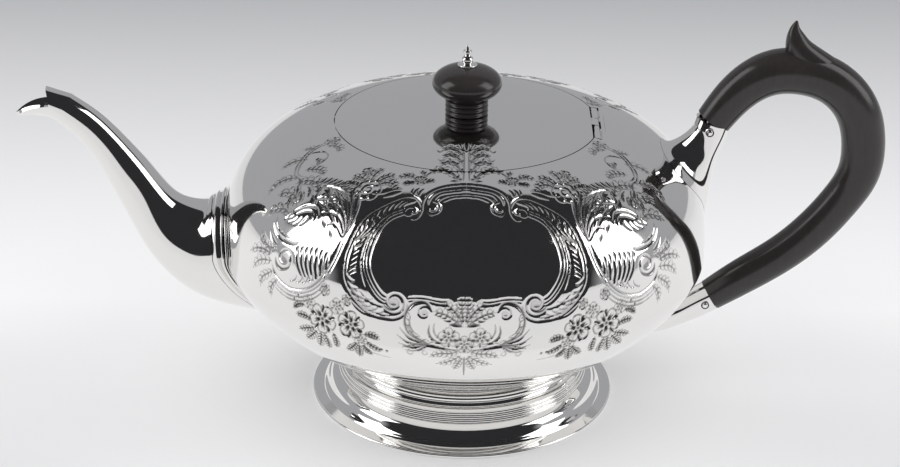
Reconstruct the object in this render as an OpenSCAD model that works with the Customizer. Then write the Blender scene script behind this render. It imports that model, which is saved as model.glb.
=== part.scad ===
// Silver teapot of compressed round form, with an engraved-ware body, a swan-neck
// spout, a flush hinged lid with a turned wooden finial, and a wooden scroll handle.
// Origin: on the axis of the body, in the plane that the foot stands on.
// +Z is up, +X points to the handle, -X to the spout.

/* [Body] */
// Greatest radius of the body
body_r = 78; // [70:1:86]
// Height of the widest line of the body above the table
waist_z = 52.7; // [48:0.1:60]
// Rise from the widest line to the crown of the lid
dome_h = 45.1; // [42:0.1:52]
// Drop from the widest line to the pole of the bowl curve
bowl_h = 46.6; // [42:0.1:50]
// Fullness of the upper curve: 2 is an ellipse, more is squarer
dome_power = 2.93; // [2.6:0.01:3.3]
// Fullness of the bowl curve below the widest line
bowl_power = 1.5; // [1.4:0.01:1.7]
// Thickness of the sheet that the body is raised from
body_wall = 1.2; // [0.8:0.1:1.8]
// Radius of the flat disc in the bottom of the bowl
floor_r = 20; // [10:1:26]

/* [Mouth and lid] */
// Radius of the lid
lid_r = 41.9; // [38:0.1:44]
// Gap all round between the lid and the mouth
lid_gap = 0.3; // [0.2:0.05:0.6]
// Thickness of the lid
lid_wall = 1.2; // [0.8:0.1:1.6]
// Width of the ledge that the lid rests on
ledge_w = 4; // [3:0.1:6]
// Thickness of the ledge and of its soldered flange
ledge_t = 1; // [0.8:0.1:1.5]
// Width of the flange of the ledge under the body wall
ledge_flange_w = 3.8; // [2.5:0.1:6]
// Gap between the edge of the lid and the ledge below it
rest_gap = 0.3; // [0.2:0.05:0.5]
// Depth of the bezel below the edge of the lid
bezel_h = 5; // [3:0.1:8]
// Thickness of the bezel
bezel_t = 1.2; // [0.8:0.1:2]
// Gap between the bezel and the ledge
bezel_gap = 0.6; // [0.5:0.05:1]

/* [Hinge] */
// Length of the flush hinge
hinge_len = 26; // [20:1:30]
// Length of the middle knuckle, which turns with the lid
middle_knuckle_len = 5.7; // [4:0.1:8]
// Radius of the knuckles
knuckle_r = 1.2; // [1:0.05:1.5]
// Radius of the hinge pin
hinge_pin_r = 0.5; // [0.35:0.05:0.6]
// Radial clearance of the hinge pin in the lid's knuckle
pin_clearance = 0.05; // [0.02:0.01:0.1]
// Gap between parts of the hinge that pass each other
hinge_gap = 0.3; // [0.25:0.05:0.4]
// Length of the rectangular back plate of the hinge
plate_len = 14; // [10:1:18]
// Width of the back plate behind the knuckles
plate_w = 1.2; // [0.8:0.1:2]
// Thickness of the floor of the hinge trough
trough_t = 1; // [0.8:0.1:1.4]

/* [Finial] */
// Radius of the wooden knob
knob_r = 11.1; // [9:0.1:13]
// Half the height of the rounded part of the knob
knob_half_h = 5.85; // [5:0.05:7]
// Height of the middle of the knob above the lid
knob_rise = 10.2; // [9.5:0.1:12]
// Radius of the neck under the knob, between its reeds
knob_neck_r = 6; // [5:0.1:7]
// Radius of the reeds turned on the neck
knob_reed_r = 0.85; // [0.6:0.05:1]
// Radius of the base of the silver cap
cap_r = 3.1; // [2.6:0.1:3.6]
// Height of the silver cap, from the knob to the point of its spike
cap_h = 7.2; // [6.4:0.1:9]
// Radius of the stud through the knob and the lid
stud_r = 1.5; // [1:0.1:1.8]
// Radial clearance of the stud in the knob and the lid
stud_clearance = 0.1; // [0.05:0.01:0.3]
// Radius of the washer under the lid
washer_r = 4.5; // [3.6:0.1:6]
// Thickness of the washer
washer_t = 0.8; // [0.5:0.1:1.2]
// Distance from the middle of the nut to its corners
nut_r = 3.2; // [2.6:0.1:4]
// Thickness of the nut
nut_t = 2; // [1.5:0.1:3]

/* [Foot] */
// Radius of the foot where it stands
foot_r = 49.9; // [46:0.1:54]
// Radius of the neck of the foot under the bowl
foot_neck_r = 37.2; // [34:0.1:39]
// Thickness of the foot
foot_wall = 1; // [0.8:0.1:1.4]
// Height of the rim wire
rim_wire_h = 1; // [0.8:0.1:1.4]
// Width of the rim wire
rim_wire_w = 3.2; // [2.5:0.1:4]
// Radius of the bead wire round the neck of the foot
foot_bead_r = 1.1; // [0.8:0.1:1.3]

/* [Spout] */
// Drop of the middle of the spout's root below the widest line
root_drop = 5.6; // [4:0.1:7]
// Half the height of the spout's root
root_half_h = 20.4; // [19:0.1:21]
// Half the width of the spout's root
root_half_w = 18; // [16:0.1:20]
// Thickness of the spout
spout_wall = 1; // [0.7:0.1:1.3]
// Height of the moulding's two ridges above the spout
ridge_h = 1.5; // [1:0.1:2]
// Reach of the drip beak past the upper lip
beak_reach = 10; // [7:0.1:12]
// Radius of the holes that strain the tea
strainer_hole_r = 1.4; // [1:0.1:1.6]
// Distance between neighbouring strainer holes
strainer_pitch = 6; // [5:0.1:6.4]

/* [Handle] */
// Thickness of the handle across, as a share of its thickness in side view
handle_flatness = 0.94; // [0.8:0.01:1.1]
// Height of the point of the thumb scroll above the widest line
scroll_tip_up = 77.4; // [75:0.1:80]
// Thickness of the sockets
socket_wall = 0.9; // [0.7:0.1:1.2]
// Step from the wood down to the socket's mouth
socket_step = 0.15; // [0:0.05:0.4]
// Clearance between a tenon and its socket
tenon_clearance = 0.1; // [0.05:0.01:0.2]
// Radius of the pins through the tenons
handle_pin_r = 1.3; // [1:0.1:1.5]
// Distance of each pin from the end of the wood
pin_inset = 2.6; // [2.2:0.1:4]

/* [Hidden] */

// Film of solder between pieces that are joined
solder = 0.05;
// Overshoot of cutting tools
cut = 1;
// Points round a sheet-metal tube
tube_points = 28;
// Rings between two stations of a tube
tube_steps = 3;

crown_z = waist_z + dome_h;
mouth_r = lid_r + lid_gap;
ledge_inner_r = mouth_r - ledge_w;
bezel_r = ledge_inner_r - bezel_gap;
root_z = waist_z - root_drop;

// ---- Curves of the body -------------------------------------------------------

// Radius of the body at height z, where inset moves the surface inwards
function body_radius(z, inset = 0) = z > waist_z
    ? (body_r - inset) * pow(1 - pow((z - waist_z) / (dome_h - inset), dome_power), 1 / dome_power)
    : (body_r - inset) * pow(1 - pow((waist_z - z) / (bowl_h - inset), bowl_power), 1 / bowl_power);
// Height of the upper curve at radius r
function dome_z(r, inset = 0) = waist_z
    + (dome_h - inset) * pow(1 - pow(r / (body_r - inset), dome_power), 1 / dome_power);
// Height of the bowl curve at radius r
function bowl_z(r, inset = 0) = waist_z
    - (bowl_h - inset) * pow(1 - pow(r / (body_r - inset), bowl_power), 1 / bowl_power);
// Point of a body curve at angle a above the widest line
function curve_point(a, h, n, inset) = [
    (body_r - inset) * pow(cos(a), 2 / n),
    waist_z + sign(a) * (h - inset) * pow(abs(sin(a)), 2 / n)
];
// Angle at which a curve of power n comes in to radius r
function curve_angle(r, n, inset) = acos(pow(r / (body_r - inset), n / 2));
// Outline from radius r_top on the dome, round the widest line, to r_low on the bowl
function body_curve(r_top, r_low, inset, steps) = concat(
    [for (i = [0 : steps])
        curve_point(curve_angle(r_top, dome_power, inset) * (1 - i / steps), dome_h, dome_power, inset)],
    [for (i = [1 : steps])
        curve_point(-curve_angle(r_low, bowl_power, inset) * i / steps, bowl_h, bowl_power, inset)]
);
function backwards(list) = [for (i = [len(list) - 1 : -1 : 0]) list[i]];
// Point on the body, standoff out from its surface, on the side of the spout or handle
function on_body(z, y, standoff, side) = [
    side * sqrt(pow(body_radius(z, -standoff), 2) - y * y),
    y,
    z
];

// ---- Tubes skinned over rings of points ---------------------------------------

function spline(a, b, c, d, t) = 0.5 * (
    2 * b + (c - a) * t + (2 * a - 5 * b + 4 * c - d) * t * t + (3 * b - a - 3 * c + d) * t * t * t
);
// Smooth list of steps points for each span of a coarse list
function smooth(list, steps) = let (last = len(list) - 1) concat(
    [for (i = [0 : last - 1], k = [0 : steps - 1])
        spline(list[max(i - 1, 0)], list[i], list[i + 1], list[min(i + 2, last)], k / steps)],
    [list[last]]
);
// Unit tangent of a path of [x, z, ...] stations
function tangent(path, i) = let (
    a = path[max(i - 1, 0)],
    b = path[min(i + 1, len(path) - 1)],
    d = [b[0] - a[0], b[1] - a[1]]
) d / norm(d);
// Ring of radius r, flattened across, at [x, z], square to the tangent t
function ring(at, t, r, across) = [
    for (k = [0 : tube_points - 1]) let (a = 360 * k / tube_points) [
        at[0] + r * cos(a) * t[1],
        r * across * sin(a),
        at[1] - r * cos(a) * t[0]
    ]
];
// Rings along a path of [x, z, r] stations
function path_rings(path, across, inset = 0) = [
    for (i = [0 : len(path) - 1])
        ring(path[i], tangent(path, i), path[i][2] - inset, across)
];

// Closed solid over a list of rings
module skin(rings) {
    n = len(rings[0]);
    last = len(rings) - 1;
    points = [for (r = rings) each r];
    sides = [for (i = [0 : last - 1], j = [0 : n - 1]) let (k = (j + 1) % n) each [
        [i * n + j, (i + 1) * n + j, (i + 1) * n + k],
        [i * n + j, (i + 1) * n + k, i * n + k]
    ]];
    start_cap = [for (j = [1 : n - 2]) [0, j, j + 1]];
    end_cap = [for (j = [1 : n - 2]) [last * n, last * n + j + 1, last * n + j]];
    polyhedron(points, concat(sides, start_cap, end_cap));
}

// Solid over rings of section, closed round on itself
module hoop(sections) {
    n = len(sections[0]);
    count = len(sections);
    polyhedron(
        [for (s = sections) each s],
        [for (i = [0 : count - 1], j = [0 : n - 1]) let (k = (j + 1) % n, m = (i + 1) % count) each [
            [i * n + j, m * n + j, m * n + k],
            [i * n + j, m * n + k, i * n + k]
        ]]
    );
}

// Hollow tube: outer rings from root to tip, then inner rings back again
module hollow_tube(outer, inner) {
    loop = concat(outer, backwards(inner));
    n = tube_points;
    count = len(loop);
    polyhedron(
        [for (r = loop) each r],
        [for (i = [0 : count - 1], j = [0 : n - 1]) let (k = (j + 1) % n, m = (i + 1) % count) each [
            [i * n + j, m * n + j, m * n + k],
            [i * n + j, m * n + k, i * n + k]
        ]]
    );
}

// ---- Body ---------------------------------------------------------------------

body_steps = 22;

// Filled shape inside a body curve, used to trim pieces flush with the surface
module dome_fill(inset) {
    rotate_extrude($fn = 96)
        polygon(concat(
            [[0, dome_z(0, inset)]],
            [for (i = [1 : body_steps]) let (r = (mouth_r + 6) * i / body_steps) [r, dome_z(r, inset)]],
            [[mouth_r + 6, waist_z], [0, waist_z]]
        ));
}

// Straight-sided recess that the hinge lies in
module hinge_recess(extra) {
    translate([ledge_inner_r - cut, -hinge_len / 2 - extra, hinge_z - 10])
        cube([hinge_x + knuckle_r + hinge_gap + extra - ledge_inner_r + cut, hinge_len + 2 * extra, 20]);
    translate([ledge_inner_r - cut, -plate_len / 2 - extra, hinge_z - 10])
        cube([plate_back_x + extra - ledge_inner_r + cut, plate_len + 2 * extra, 20]);
}

// Pattern of strainer holes inside the root of the spout
module strainer_drills() {
    for (ring_no = [0 : 2], k = [0 : max(ring_no * 6 - 1, 0)])
        let (a = ring_no == 0 ? 0 : 360 * k / (ring_no * 6), d = strainer_pitch * ring_no)
            translate([-body_r - 5, d * cos(a), root_z + d * sin(a)])
                rotate([0, 90, 0])
                    cylinder(r = strainer_hole_r, h = 30, $fn = 24);
}

// The body is made in two halves, soldered together round its widest line
function upper_half(inset) = [for (i = [0 : body_steps])
    body_curve(mouth_r, floor_r, inset, body_steps)[i]];
function lower_half(inset) = concat(
    [[body_r - inset, waist_z - solder]],
    [for (i = [body_steps + 1 : 2 * body_steps]) body_curve(mouth_r, floor_r, inset, body_steps)[i]]
);

module body_shoulder() {
    color("silver")
        difference() {
            rotate_extrude($fn = 96)
                polygon(concat(upper_half(0), backwards(upper_half(body_wall))));
            hinge_recess(solder);
            strainer_drills();
        }
}

module body_bowl() {
    color("silver")
        difference() {
            rotate_extrude($fn = 96)
                polygon(concat(
                    lower_half(0),
                    [[0, bowl_z(floor_r)], [0, bowl_z(floor_r, body_wall)]],
                    backwards(lower_half(body_wall))
                ));
            strainer_drills();
        }
}

// Ledge and flange inside the mouth
module mouth_ring() {
    ledge_z = dome_z(lid_r, lid_wall) - rest_gap;
    flange_r = mouth_r + ledge_flange_w;
    steps = 6;
    color("silver")
        difference() {
            rotate_extrude($fn = 96)
                polygon(concat(
                    [[ledge_inner_r, ledge_z - ledge_t], [ledge_inner_r, ledge_z], [mouth_r, ledge_z]],
                    [for (i = [0 : steps]) let (r = mouth_r + ledge_flange_w * i / steps)
                        [r, dome_z(r, body_wall) - solder]],
                    [[flange_r, dome_z(flange_r, body_wall) - ledge_t]],
                    [[mouth_r, ledge_z - ledge_t]]
                ));
            hinge_recess(solder);
        }
}

// ---- Foot ---------------------------------------------------------------------

// Where the neck of the foot meets the bowl
foot_top_z = bowl_z(foot_neck_r - foot_wall) - solder;
// The neck stands straight below the bowl, with the bead wire round it
neck_h = 3.5;
cove_z = bowl_z(foot_neck_r) - neck_h;
// The stamped steps stretch with the rise from the rim wire to the neck
foot_rise = cove_z - rim_wire_h;
// Distance in from the edge and share of the rise, from the table up
foot_steps = [
    [foot_r - 0.3, rim_wire_h + solder],
    [foot_r - 3.7, rim_wire_h + 0.065 * foot_rise],
    [foot_r - 5.3, rim_wire_h + 0.21 * foot_rise],
    [foot_r - 6.4, rim_wire_h + 0.38 * foot_rise],
    [foot_r - 8.9, rim_wire_h + 0.525 * foot_rise]
];
reed_count = 3;
reed_r = 0.6;
reed_start = [foot_r - 9.3, rim_wire_h + 0.573 * foot_rise];
reed_step = [-0.5, 0.089 * foot_rise];

module foot_shell() {
    reed_end = reed_start + reed_count * reed_step;
    outer = concat(
        foot_steps,
        [reed_start + [0, -reed_r], reed_end + [0, -reed_r]],
        [for (i = [1 : 4]) let (a = 90 * i / 4) [
            reed_end[0] - (reed_end[0] - foot_neck_r) * sin(a),
            cove_z - (cove_z - reed_end[1]) * cos(a)
        ]],
        [[foot_neck_r, bowl_z(foot_neck_r) - solder], [foot_neck_r - foot_wall, foot_top_z]]
    );
    inner = [
        [foot_neck_r - foot_wall, cove_z],
        [reed_end[0] - foot_wall - 0.4, reed_end[1] - foot_wall],
        [reed_start[0] - foot_wall - 0.4, reed_start[1] - foot_wall],
        [foot_steps[3][0] - foot_wall - 0.6, foot_steps[3][1] - foot_wall],
        [foot_steps[1][0] - foot_wall - 0.8, rim_wire_h + solder]
    ];
    color("silver")
        rotate_extrude($fn = 96) {
            polygon(concat(outer, inner));
            for (i = [0 : reed_count - 1])
                translate(reed_start + i * reed_step)
                    circle(r = reed_r, $fn = 20);
        }
}

module foot_rim_wire() {
    round_r = rim_wire_h / 2;
    color("silver")
        rotate_extrude($fn = 96) {
            translate([foot_r - rim_wire_w, 0])
                square([rim_wire_w - round_r, rim_wire_h]);
            translate([foot_r - round_r, round_r])
                circle(r = round_r, $fn = 20);
        }
}

module foot_bead_wire() {
    color("silver")
        rotate_extrude($fn = 96)
            translate([foot_neck_r + foot_bead_r + solder, cove_z + foot_bead_r + 0.4])
                circle(r = foot_bead_r, $fn = 24);
}

// ---- Spout --------------------------------------------------------------------

// Standoffs from the body: end of the root flange, and end of the ridged collar
root_flange_t = 0.6;
collar_end_t = 4.2;
// How much wider the root is at its top than at its bottom, as a share
root_egg = 0.1;
// How far the spout lies inside the oval of the root
root_step = 0.6;
// Film of solder where two faceted rings meet
root_seat = 0.2;
// Distance from the body's side, height above the root's middle, and radius
spout_stations = [
    [6.7, 2.8, 16.2],
    [13.8, 7.6, 13],
    [19.7, 12.4, 10.1],
    [24.8, 19.4, 8.25],
    [29.9, 27.8, 7.25],
    [34.9, 35.3, 6.25],
    [42, 44, 5.4],
    [50.6, 50.8, 4.95]
];
// Angle by which the first of these rings leans back from upright
first_lean = 6;
// Middle of the mouth, measured the same way, and its half height
lip_out = 55.5;
lip_up = 52.3;
lip_half = 4.9;
// How far the sides of the mouth lie behind its top
lip_hollow = 1.3;
// Rise of the arch along the underside of the beak
beak_arch = 1.5;
spout_path = [for (s = spout_stations) [-body_r - s[0], root_z + s[1], s[2]]];

// Point round the root: grow widens the oval, standoff leaves the body's surface
function root_point(a, grow, standoff) = on_body(
    root_z + (root_half_h + grow) * cos(a),
    (root_half_w + grow) * sin(a) * (1 + root_egg * cos(a)),
    standoff,
    -1
);
function root_ring(grow, standoff) = [
    for (k = [0 : tube_points - 1]) root_point(360 * k / tube_points, grow, standoff)
];
// How far the rim of the mouth has run out into the beak at angle a from the top
function beak_share(a) = let (b = a > 180 ? 360 - a : a) b < 90 ? 0 : pow((b - 90) / 90, 1.5);
// Rim of the mouth, where inset moves it in to the inner face of the wall
function mouth_rim(inset) = [
    for (k = [0 : tube_points - 1]) let (
        a = 360 * k / tube_points,
        share = beak_share(a),
        side = sin(a) < 0 ? -1 : 1,
        upper = cos(a) > 0.001
    ) [
        -body_r - lip_out + lip_hollow * (upper ? pow(sin(a), 2) : 1) - (beak_reach + lip_hollow) * share,
        (lip_half - inset) * (upper ? sin(a) : side * sqrt(max(0, 1 - share))),
        root_z + lip_up - inset * cos(a)
            + lip_half * (upper ? cos(a) : -0.4 * share - 0.6 * pow(share, 3))
    ]
];
// Ring part of the way from the last round section to the rim, arched along the beak
function lip_ring(share, inset) = let (
    last = len(spout_path) - 1,
    start = ring(spout_path[last], tangent(spout_path, last), spout_path[last][2] - inset, 1),
    rim = mouth_rim(inset)
) [
    for (k = [0 : tube_points - 1]) let (a = 360 * k / tube_points)
        start[k] * (1 - share) + rim[k] * share
        + [0, 0, beak_arch * share * (1 - share) * beak_share(a)]
];
function spout_rings(inset) = let (
    rings = path_rings(spout_path, 1, inset),
    first = ring(spout_path[0], [-cos(first_lean), sin(first_lean)], spout_path[0][2] - inset, 1)
) concat(
    smooth(concat(
        [root_ring(-root_step - inset, collar_end_t + root_seat), first],
        [for (i = [1 : len(rings) - 1]) rings[i]]
    ), tube_steps),
    [lip_ring(0.25, inset), lip_ring(0.5, inset), lip_ring(0.75, inset), lip_ring(1, inset)]
);

module spout_shell() {
    color("silver")
        hollow_tube(spout_rings(0), spout_rings(spout_wall));
}

// Ring round the root with a section of [grow, standoff] points
module root_hoop(section) {
    hoop([
        for (k = [0 : 2 * tube_points - 1]) let (a = 180 * k / tube_points)
            [for (s = backwards(section)) root_point(a, s[0], s[1])]
    ]);
}

module spout_collar() {
    inner = -root_step - spout_wall;
    color("silver")
        root_hoop([
            [inner, root_flange_t + root_seat],
            [ridge_h - 0.5, root_flange_t + root_seat],
            [ridge_h, root_flange_t + 0.5],
            [ridge_h - 0.4, root_flange_t + 1.1],
            [0, root_flange_t + 1.8],
            [ridge_h - 1.1, root_flange_t + 2.2],
            [ridge_h - 0.9, root_flange_t + 2.7],
            [-0.3, collar_end_t],
            [inner, collar_end_t]
        ]);
}

module spout_root() {
    inner = -root_step - spout_wall;
    color("silver")
        root_hoop([
            [inner, root_seat],
            [ridge_h + 0.5, root_seat],
            [ridge_h + 0.4, root_flange_t * 0.5],
            [ridge_h - 0.6, root_flange_t],
            [inner, root_flange_t]
        ]);
}

// ---- Handle -------------------------------------------------------------------

// Distance out from the body's side, height above the widest line, and radius
handle_stations = [
    [0.6, 43.6, 5.8],
    [6.3, 51.6, 6.4],
    [12.2, 57.1, 6.9],
    [19, 60.3, 7.3],
    [27, 60.6, 7.4],
    [35.2, 58.3, 7.3],
    [42, 53.4, 7.2],
    [47, 45.6, 7.1],
    [49.1, 34.8, 7],
    [48.2, 26, 6.8],
    [44.3, 18.1, 6.5],
    [36.1, 7.1, 6.4],
    [25.5, -2.9, 6.2],
    [13.5, -11.2, 6],
    [3.5, -18.1, 5.3]
];
// The thumb scroll peels off the outer side of the handle
scroll_stations = [
    [43.5, 50, 5],
    [37.5, 57.6, 5.9],
    [31, 62.9, 5.6],
    [26.4, 67.6, 4.6],
    [24.6, 72, 3.1],
    [24.2, scroll_tip_up - 2.3, 1.6],
    [24.6, scroll_tip_up, 0.4]
];
function from_body(stations) = [for (s = stations) [body_r + s[0], waist_z + s[1], s[2]]];
handle_path = from_body(handle_stations);
handle_end = len(handle_path) - 1;
upper_end = handle_path[0];
lower_end = handle_path[handle_end];
upper_dir = -tangent(handle_path, 0);
lower_dir = tangent(handle_path, handle_end);

// Places a shape that stands on the XY plane at an end of the wood, pointing along dir
module at_end(end, dir) {
    translate([end[0], 0, end[1]])
        rotate([0, atan2(dir[0], dir[1]), 0])
            children();
}

module handle_pin_at(end, dir, half_len) {
    at_end(end, dir)
        translate([0, half_len, pin_inset])
            rotate([90, 0, 0])
                cylinder(r = handle_pin_r, h = 2 * half_len, $fn = 32);
}

// Plug on an end of the wood that fills the first rings of its socket
module tenon(rings, dir) {
    start = [for (p = rings[0]) p - [dir[0], 0, dir[1]]];
    plug = concat([start], rings);
    if (plug[0][0][2] > waist_z) skin(backwards(plug));
    else skin(plug);
}

module handle_grip() {
    pin_reach = upper_end[2] + 2;
    color([0.12, 0.11, 0.1])
        difference() {
            union() {
                skin(path_rings(smooth(handle_path, tube_steps), handle_flatness));
                skin(path_rings(smooth(from_body(scroll_stations), tube_steps), handle_flatness));
                tenon(upper_plug, upper_dir);
                tenon(lower_plug, lower_dir);
            }
            handle_pin_at(upper_end, upper_dir, pin_reach);
            handle_pin_at(lower_end, lower_dir, pin_reach);
        }
}

// ---- Sockets ------------------------------------------------------------------

// Teardrop on the body under the upper socket, pointed at its lower end
upper_foot_low = 10.4;
upper_foot_high = 35.2;
upper_foot_w = 11;
upper_socket_stations = [
    [-0.4, 40.4, 5.65],
    [-2.6, 36, 6.2],
    [-5.4, 31.6, 8.2]
];
// Oval on the bowl under the lower socket
lower_foot_low = -30.4;
lower_foot_high = -21.4;
lower_foot_w = 6;
lower_socket_stations = [
    [-1.8, -21.4, 4.9],
    [-9, -25.2, 4.5],
    [-16, -26.8, 4.9]
];

function teardrop_foot(low, high, w, inset, pointed) = [
    for (k = [0 : tube_points - 1]) let (
        a = 360 * k / tube_points,
        half = (high - low) / 2 - inset,
        width = pointed ? (w - inset * 0.6) * (1 - cos(a)) : w - inset,
        along = pointed ? -cos(a) : cos(a)
    ) on_body(waist_z + (low + high) / 2 + half * along, width * sin(a), solder, 1)
];
// Rings from the socket's mouth at the wood to its foot on the body
function socket_rings(end, dir, t, stations, foot, inset) = let (
    mouth = [end[0] + dir[0] * solder, end[1] + dir[1] * solder, end[2] - socket_step],
    path = concat([mouth], from_body(stations))
) smooth(concat(
    [for (i = [0 : len(path) - 1])
        ring(path[i], i == 0 ? t : t_of(path, i, t), path[i][2] - inset, i == 0 ? 1 : handle_flatness)],
    [foot]
), tube_steps);
// Tangent at a socket's station, kept pointing the way that the handle's path runs
function t_of(path, i, t) = let (d = tangent(path, i)) d * t < 0 ? -d : d;

// First rings of the inside of a socket, less the clearance of the tenon
function plug_rings(end, dir, t, stations, foot, count) =
    let (rings = socket_rings(end, dir, t, stations, foot, socket_wall + tenon_clearance))
        [for (i = [0 : count - 1]) rings[i]];
upper_plug = plug_rings(upper_end, upper_dir, -upper_dir, upper_socket_stations,
    teardrop_foot(upper_foot_low, upper_foot_high, upper_foot_w, socket_wall, true), 5);
lower_plug = plug_rings(lower_end, lower_dir, lower_dir, lower_socket_stations,
    teardrop_foot(lower_foot_low, lower_foot_high, lower_foot_w, socket_wall, false), 4);

module socket(end, dir, t, stations, low, high, w, pointed) {
    outer = socket_rings(end, dir, t, stations, teardrop_foot(low, high, w, 0, pointed), 0);
    inner = socket_rings(end, dir, t, stations, teardrop_foot(low, high, w, socket_wall, pointed), socket_wall);
    color("silver")
        difference() {
            if (pointed) hollow_tube(backwards(outer), backwards(inner));
            else hollow_tube(outer, inner);
            handle_pin_at(end, dir, end[2] + 2);
        }
}

module upper_socket() {
    socket(upper_end, upper_dir, -upper_dir, upper_socket_stations,
        upper_foot_low, upper_foot_high, upper_foot_w, true);
}

module lower_socket() {
    socket(lower_end, lower_dir, lower_dir, lower_socket_stations,
        lower_foot_low, lower_foot_high, lower_foot_w, false);
}

module upper_pin() {
    color("silver")
        handle_pin_at(upper_end, upper_dir, upper_end[2]);
}

module lower_pin() {
    color("silver")
        handle_pin_at(lower_end, lower_dir, lower_end[2]);
}

// ---- Lid and hinge ------------------------------------------------------------

// The knuckles lie flush in the surface, just inside the edge of the lid
hinge_x = lid_r - 0.7;
hinge_z = dome_z(hinge_x) - knuckle_r;
lid_back_x = hinge_x - knuckle_r - hinge_gap;
plate_back_x = hinge_x + knuckle_r + hinge_gap + plate_w;
trough_z = hinge_z - knuckle_r - hinge_gap;

module lid_shell() {
    steps = 16;
    color("silver")
        difference() {
            rotate_extrude($fn = 96)
                polygon(concat(
                    [for (i = [0 : steps]) let (r = lid_r * i / steps) [r, dome_z(r)]],
                    [for (i = [steps : -1 : 0]) let (r = lid_r * i / steps) [r, dome_z(r, lid_wall)]]
                ));
            translate([lid_back_x, -lid_r, hinge_z - 10])
                cube([lid_r, 2 * lid_r, 20]);
            translate([0, 0, crown_z - 5])
                cylinder(r = stud_r + stud_clearance, h = 10, $fn = 32);
        }
}

module lid_bezel() {
    edge_z = dome_z(lid_r, lid_wall);
    color("silver")
        rotate_extrude($fn = 96)
            polygon([
                [bezel_r - bezel_t, edge_z - bezel_h],
                [bezel_r, edge_z - bezel_h],
                [bezel_r, dome_z(bezel_r, lid_wall) - solder],
                [bezel_r - bezel_t, dome_z(bezel_r, lid_wall) - solder]
            ]);
}

// Rod along the hinge line, between two distances from its middle
module hinge_rod(r, from, to) {
    translate([hinge_x, to, hinge_z])
        rotate([90, 0, 0])
            cylinder(r = r, h = to - from, $fn = 32);
}

module body_hinge() {
    inner_y = middle_knuckle_len / 2 + hinge_gap;
    half = hinge_len / 2;
    color("silver")
        difference() {
            intersection() {
                union() {
                    for (side = [0, 1])
                        mirror([0, side, 0]) {
                            hinge_rod(knuckle_r, inner_y, half);
                            translate([hinge_x, inner_y, trough_z - trough_t])
                                cube([knuckle_r + hinge_gap, half - inner_y, hinge_z - trough_z + trough_t]);
                        }
                    translate([hinge_x + knuckle_r + hinge_gap, -plate_len / 2, trough_z - trough_t])
                        cube([plate_w, plate_len, 6]);
                    translate([lid_back_x, -half, trough_z - trough_t])
                        cube([plate_back_x - plate_w - lid_back_x, hinge_len, trough_t]);
                }
                dome_fill(0);
            }
            hinge_rod(hinge_pin_r + solder / 2, -half - cut, half + cut);
        }
}

module lid_hinge_leaf() {
    half = middle_knuckle_len / 2;
    leaf_z = hinge_z - knuckle_r;
    color("silver")
        difference() {
            union() {
                hinge_rod(knuckle_r, -half, half);
                intersection() {
                    translate([lid_back_x + solder, -half, leaf_z])
                        cube([hinge_x - lid_back_x - solder, middle_knuckle_len, 6]);
                    dome_fill(0);
                }
                intersection() {
                    translate([bezel_r + solder, -half, leaf_z])
                        cube([hinge_x - bezel_r - knuckle_r, middle_knuckle_len, 6]);
                    dome_fill(lid_wall + solder);
                }
            }
            hinge_rod(hinge_pin_r + pin_clearance, -half - cut, half + cut);
        }
}

module hinge_pin() {
    color("silver")
        hinge_rod(hinge_pin_r, -hinge_len / 2, hinge_len / 2);
}

// ---- Finial -------------------------------------------------------------------

knob_z = crown_z + knob_rise;
knob_top_z = knob_z + knob_half_h * sqrt(1 - pow(cap_r / knob_r, 2));

module finial_knob() {
    neck_join = asin(knob_neck_r / knob_r);
    cap_join = asin(cap_r / knob_r);
    steps = 20;
    base_z = crown_z + solder;
    bore_r = stud_r + stud_clearance;
    color([0.12, 0.11, 0.1])
        rotate_extrude($fn = 64)
            difference() {
                union() {
                    polygon(concat(
                        [[bore_r, base_z], [knob_neck_r, base_z]],
                        [for (i = [0 : steps])
                            let (a = 180 - neck_join - (180 - neck_join - cap_join) * i / steps)
                                [knob_r * sin(a), knob_z + knob_half_h * cos(a)]],
                        [[bore_r, knob_top_z]]
                    ));
                    for (i = [0 : 2])
                        translate([knob_neck_r, base_z + knob_reed_r * (1 + 1.9 * i)])
                            circle(r = knob_reed_r, $fn = 20);
                }
                translate([-cut, crown_z - cut])
                    square([bore_r + cut, 2 * knob_rise + 2 * cut]);
            }
}

module finial_cap() {
    base_z = knob_top_z + solder;
    color("silver")
        difference() {
            rotate_extrude($fn = 48)
                polygon([
                    [0, base_z],
                    [cap_r - 0.2, base_z],
                    [cap_r, base_z + 0.35],
                    [cap_r - 0.3, base_z + 0.75],
                    [stud_r + 0.2, base_z + 1.15],
                    [stud_r + 0.4, base_z + 1.7],
                    [stud_r + 0.5, base_z + 2.3],
                    [stud_r + 0.2, base_z + 2.9],
                    [0.9, base_z + 3.5],
                    [0.75, base_z + 4.2],
                    [1.5, base_z + 4.6],
                    [1.5, base_z + 4.9],
                    [0.7, base_z + 5.2],
                    [0.5, base_z + 6.1],
                    [0.2, base_z + cap_h - 0.2],
                    [0, base_z + cap_h]
                ]);
            translate([0, 0, base_z - cut])
                cylinder(r = stud_r, h = 1.6 + cut, $fn = 32);
        }
}

washer_top_z = crown_z - lid_wall - solder;
nut_top_z = washer_top_z - washer_t - solder;

module finial_stud() {
    low_z = nut_top_z - nut_t - 0.6;
    color("silver")
        translate([0, 0, low_z])
            cylinder(r = stud_r, h = knob_top_z + 1.5 - low_z, $fn = 32);
}

module finial_washer() {
    color("silver")
        translate([0, 0, washer_top_z - washer_t])
            difference() {
                cylinder(r = washer_r, h = washer_t, $fn = 48);
                translate([0, 0, -cut])
                    cylinder(r = stud_r + stud_clearance, h = washer_t + 2 * cut, $fn = 32);
            }
}

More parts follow.
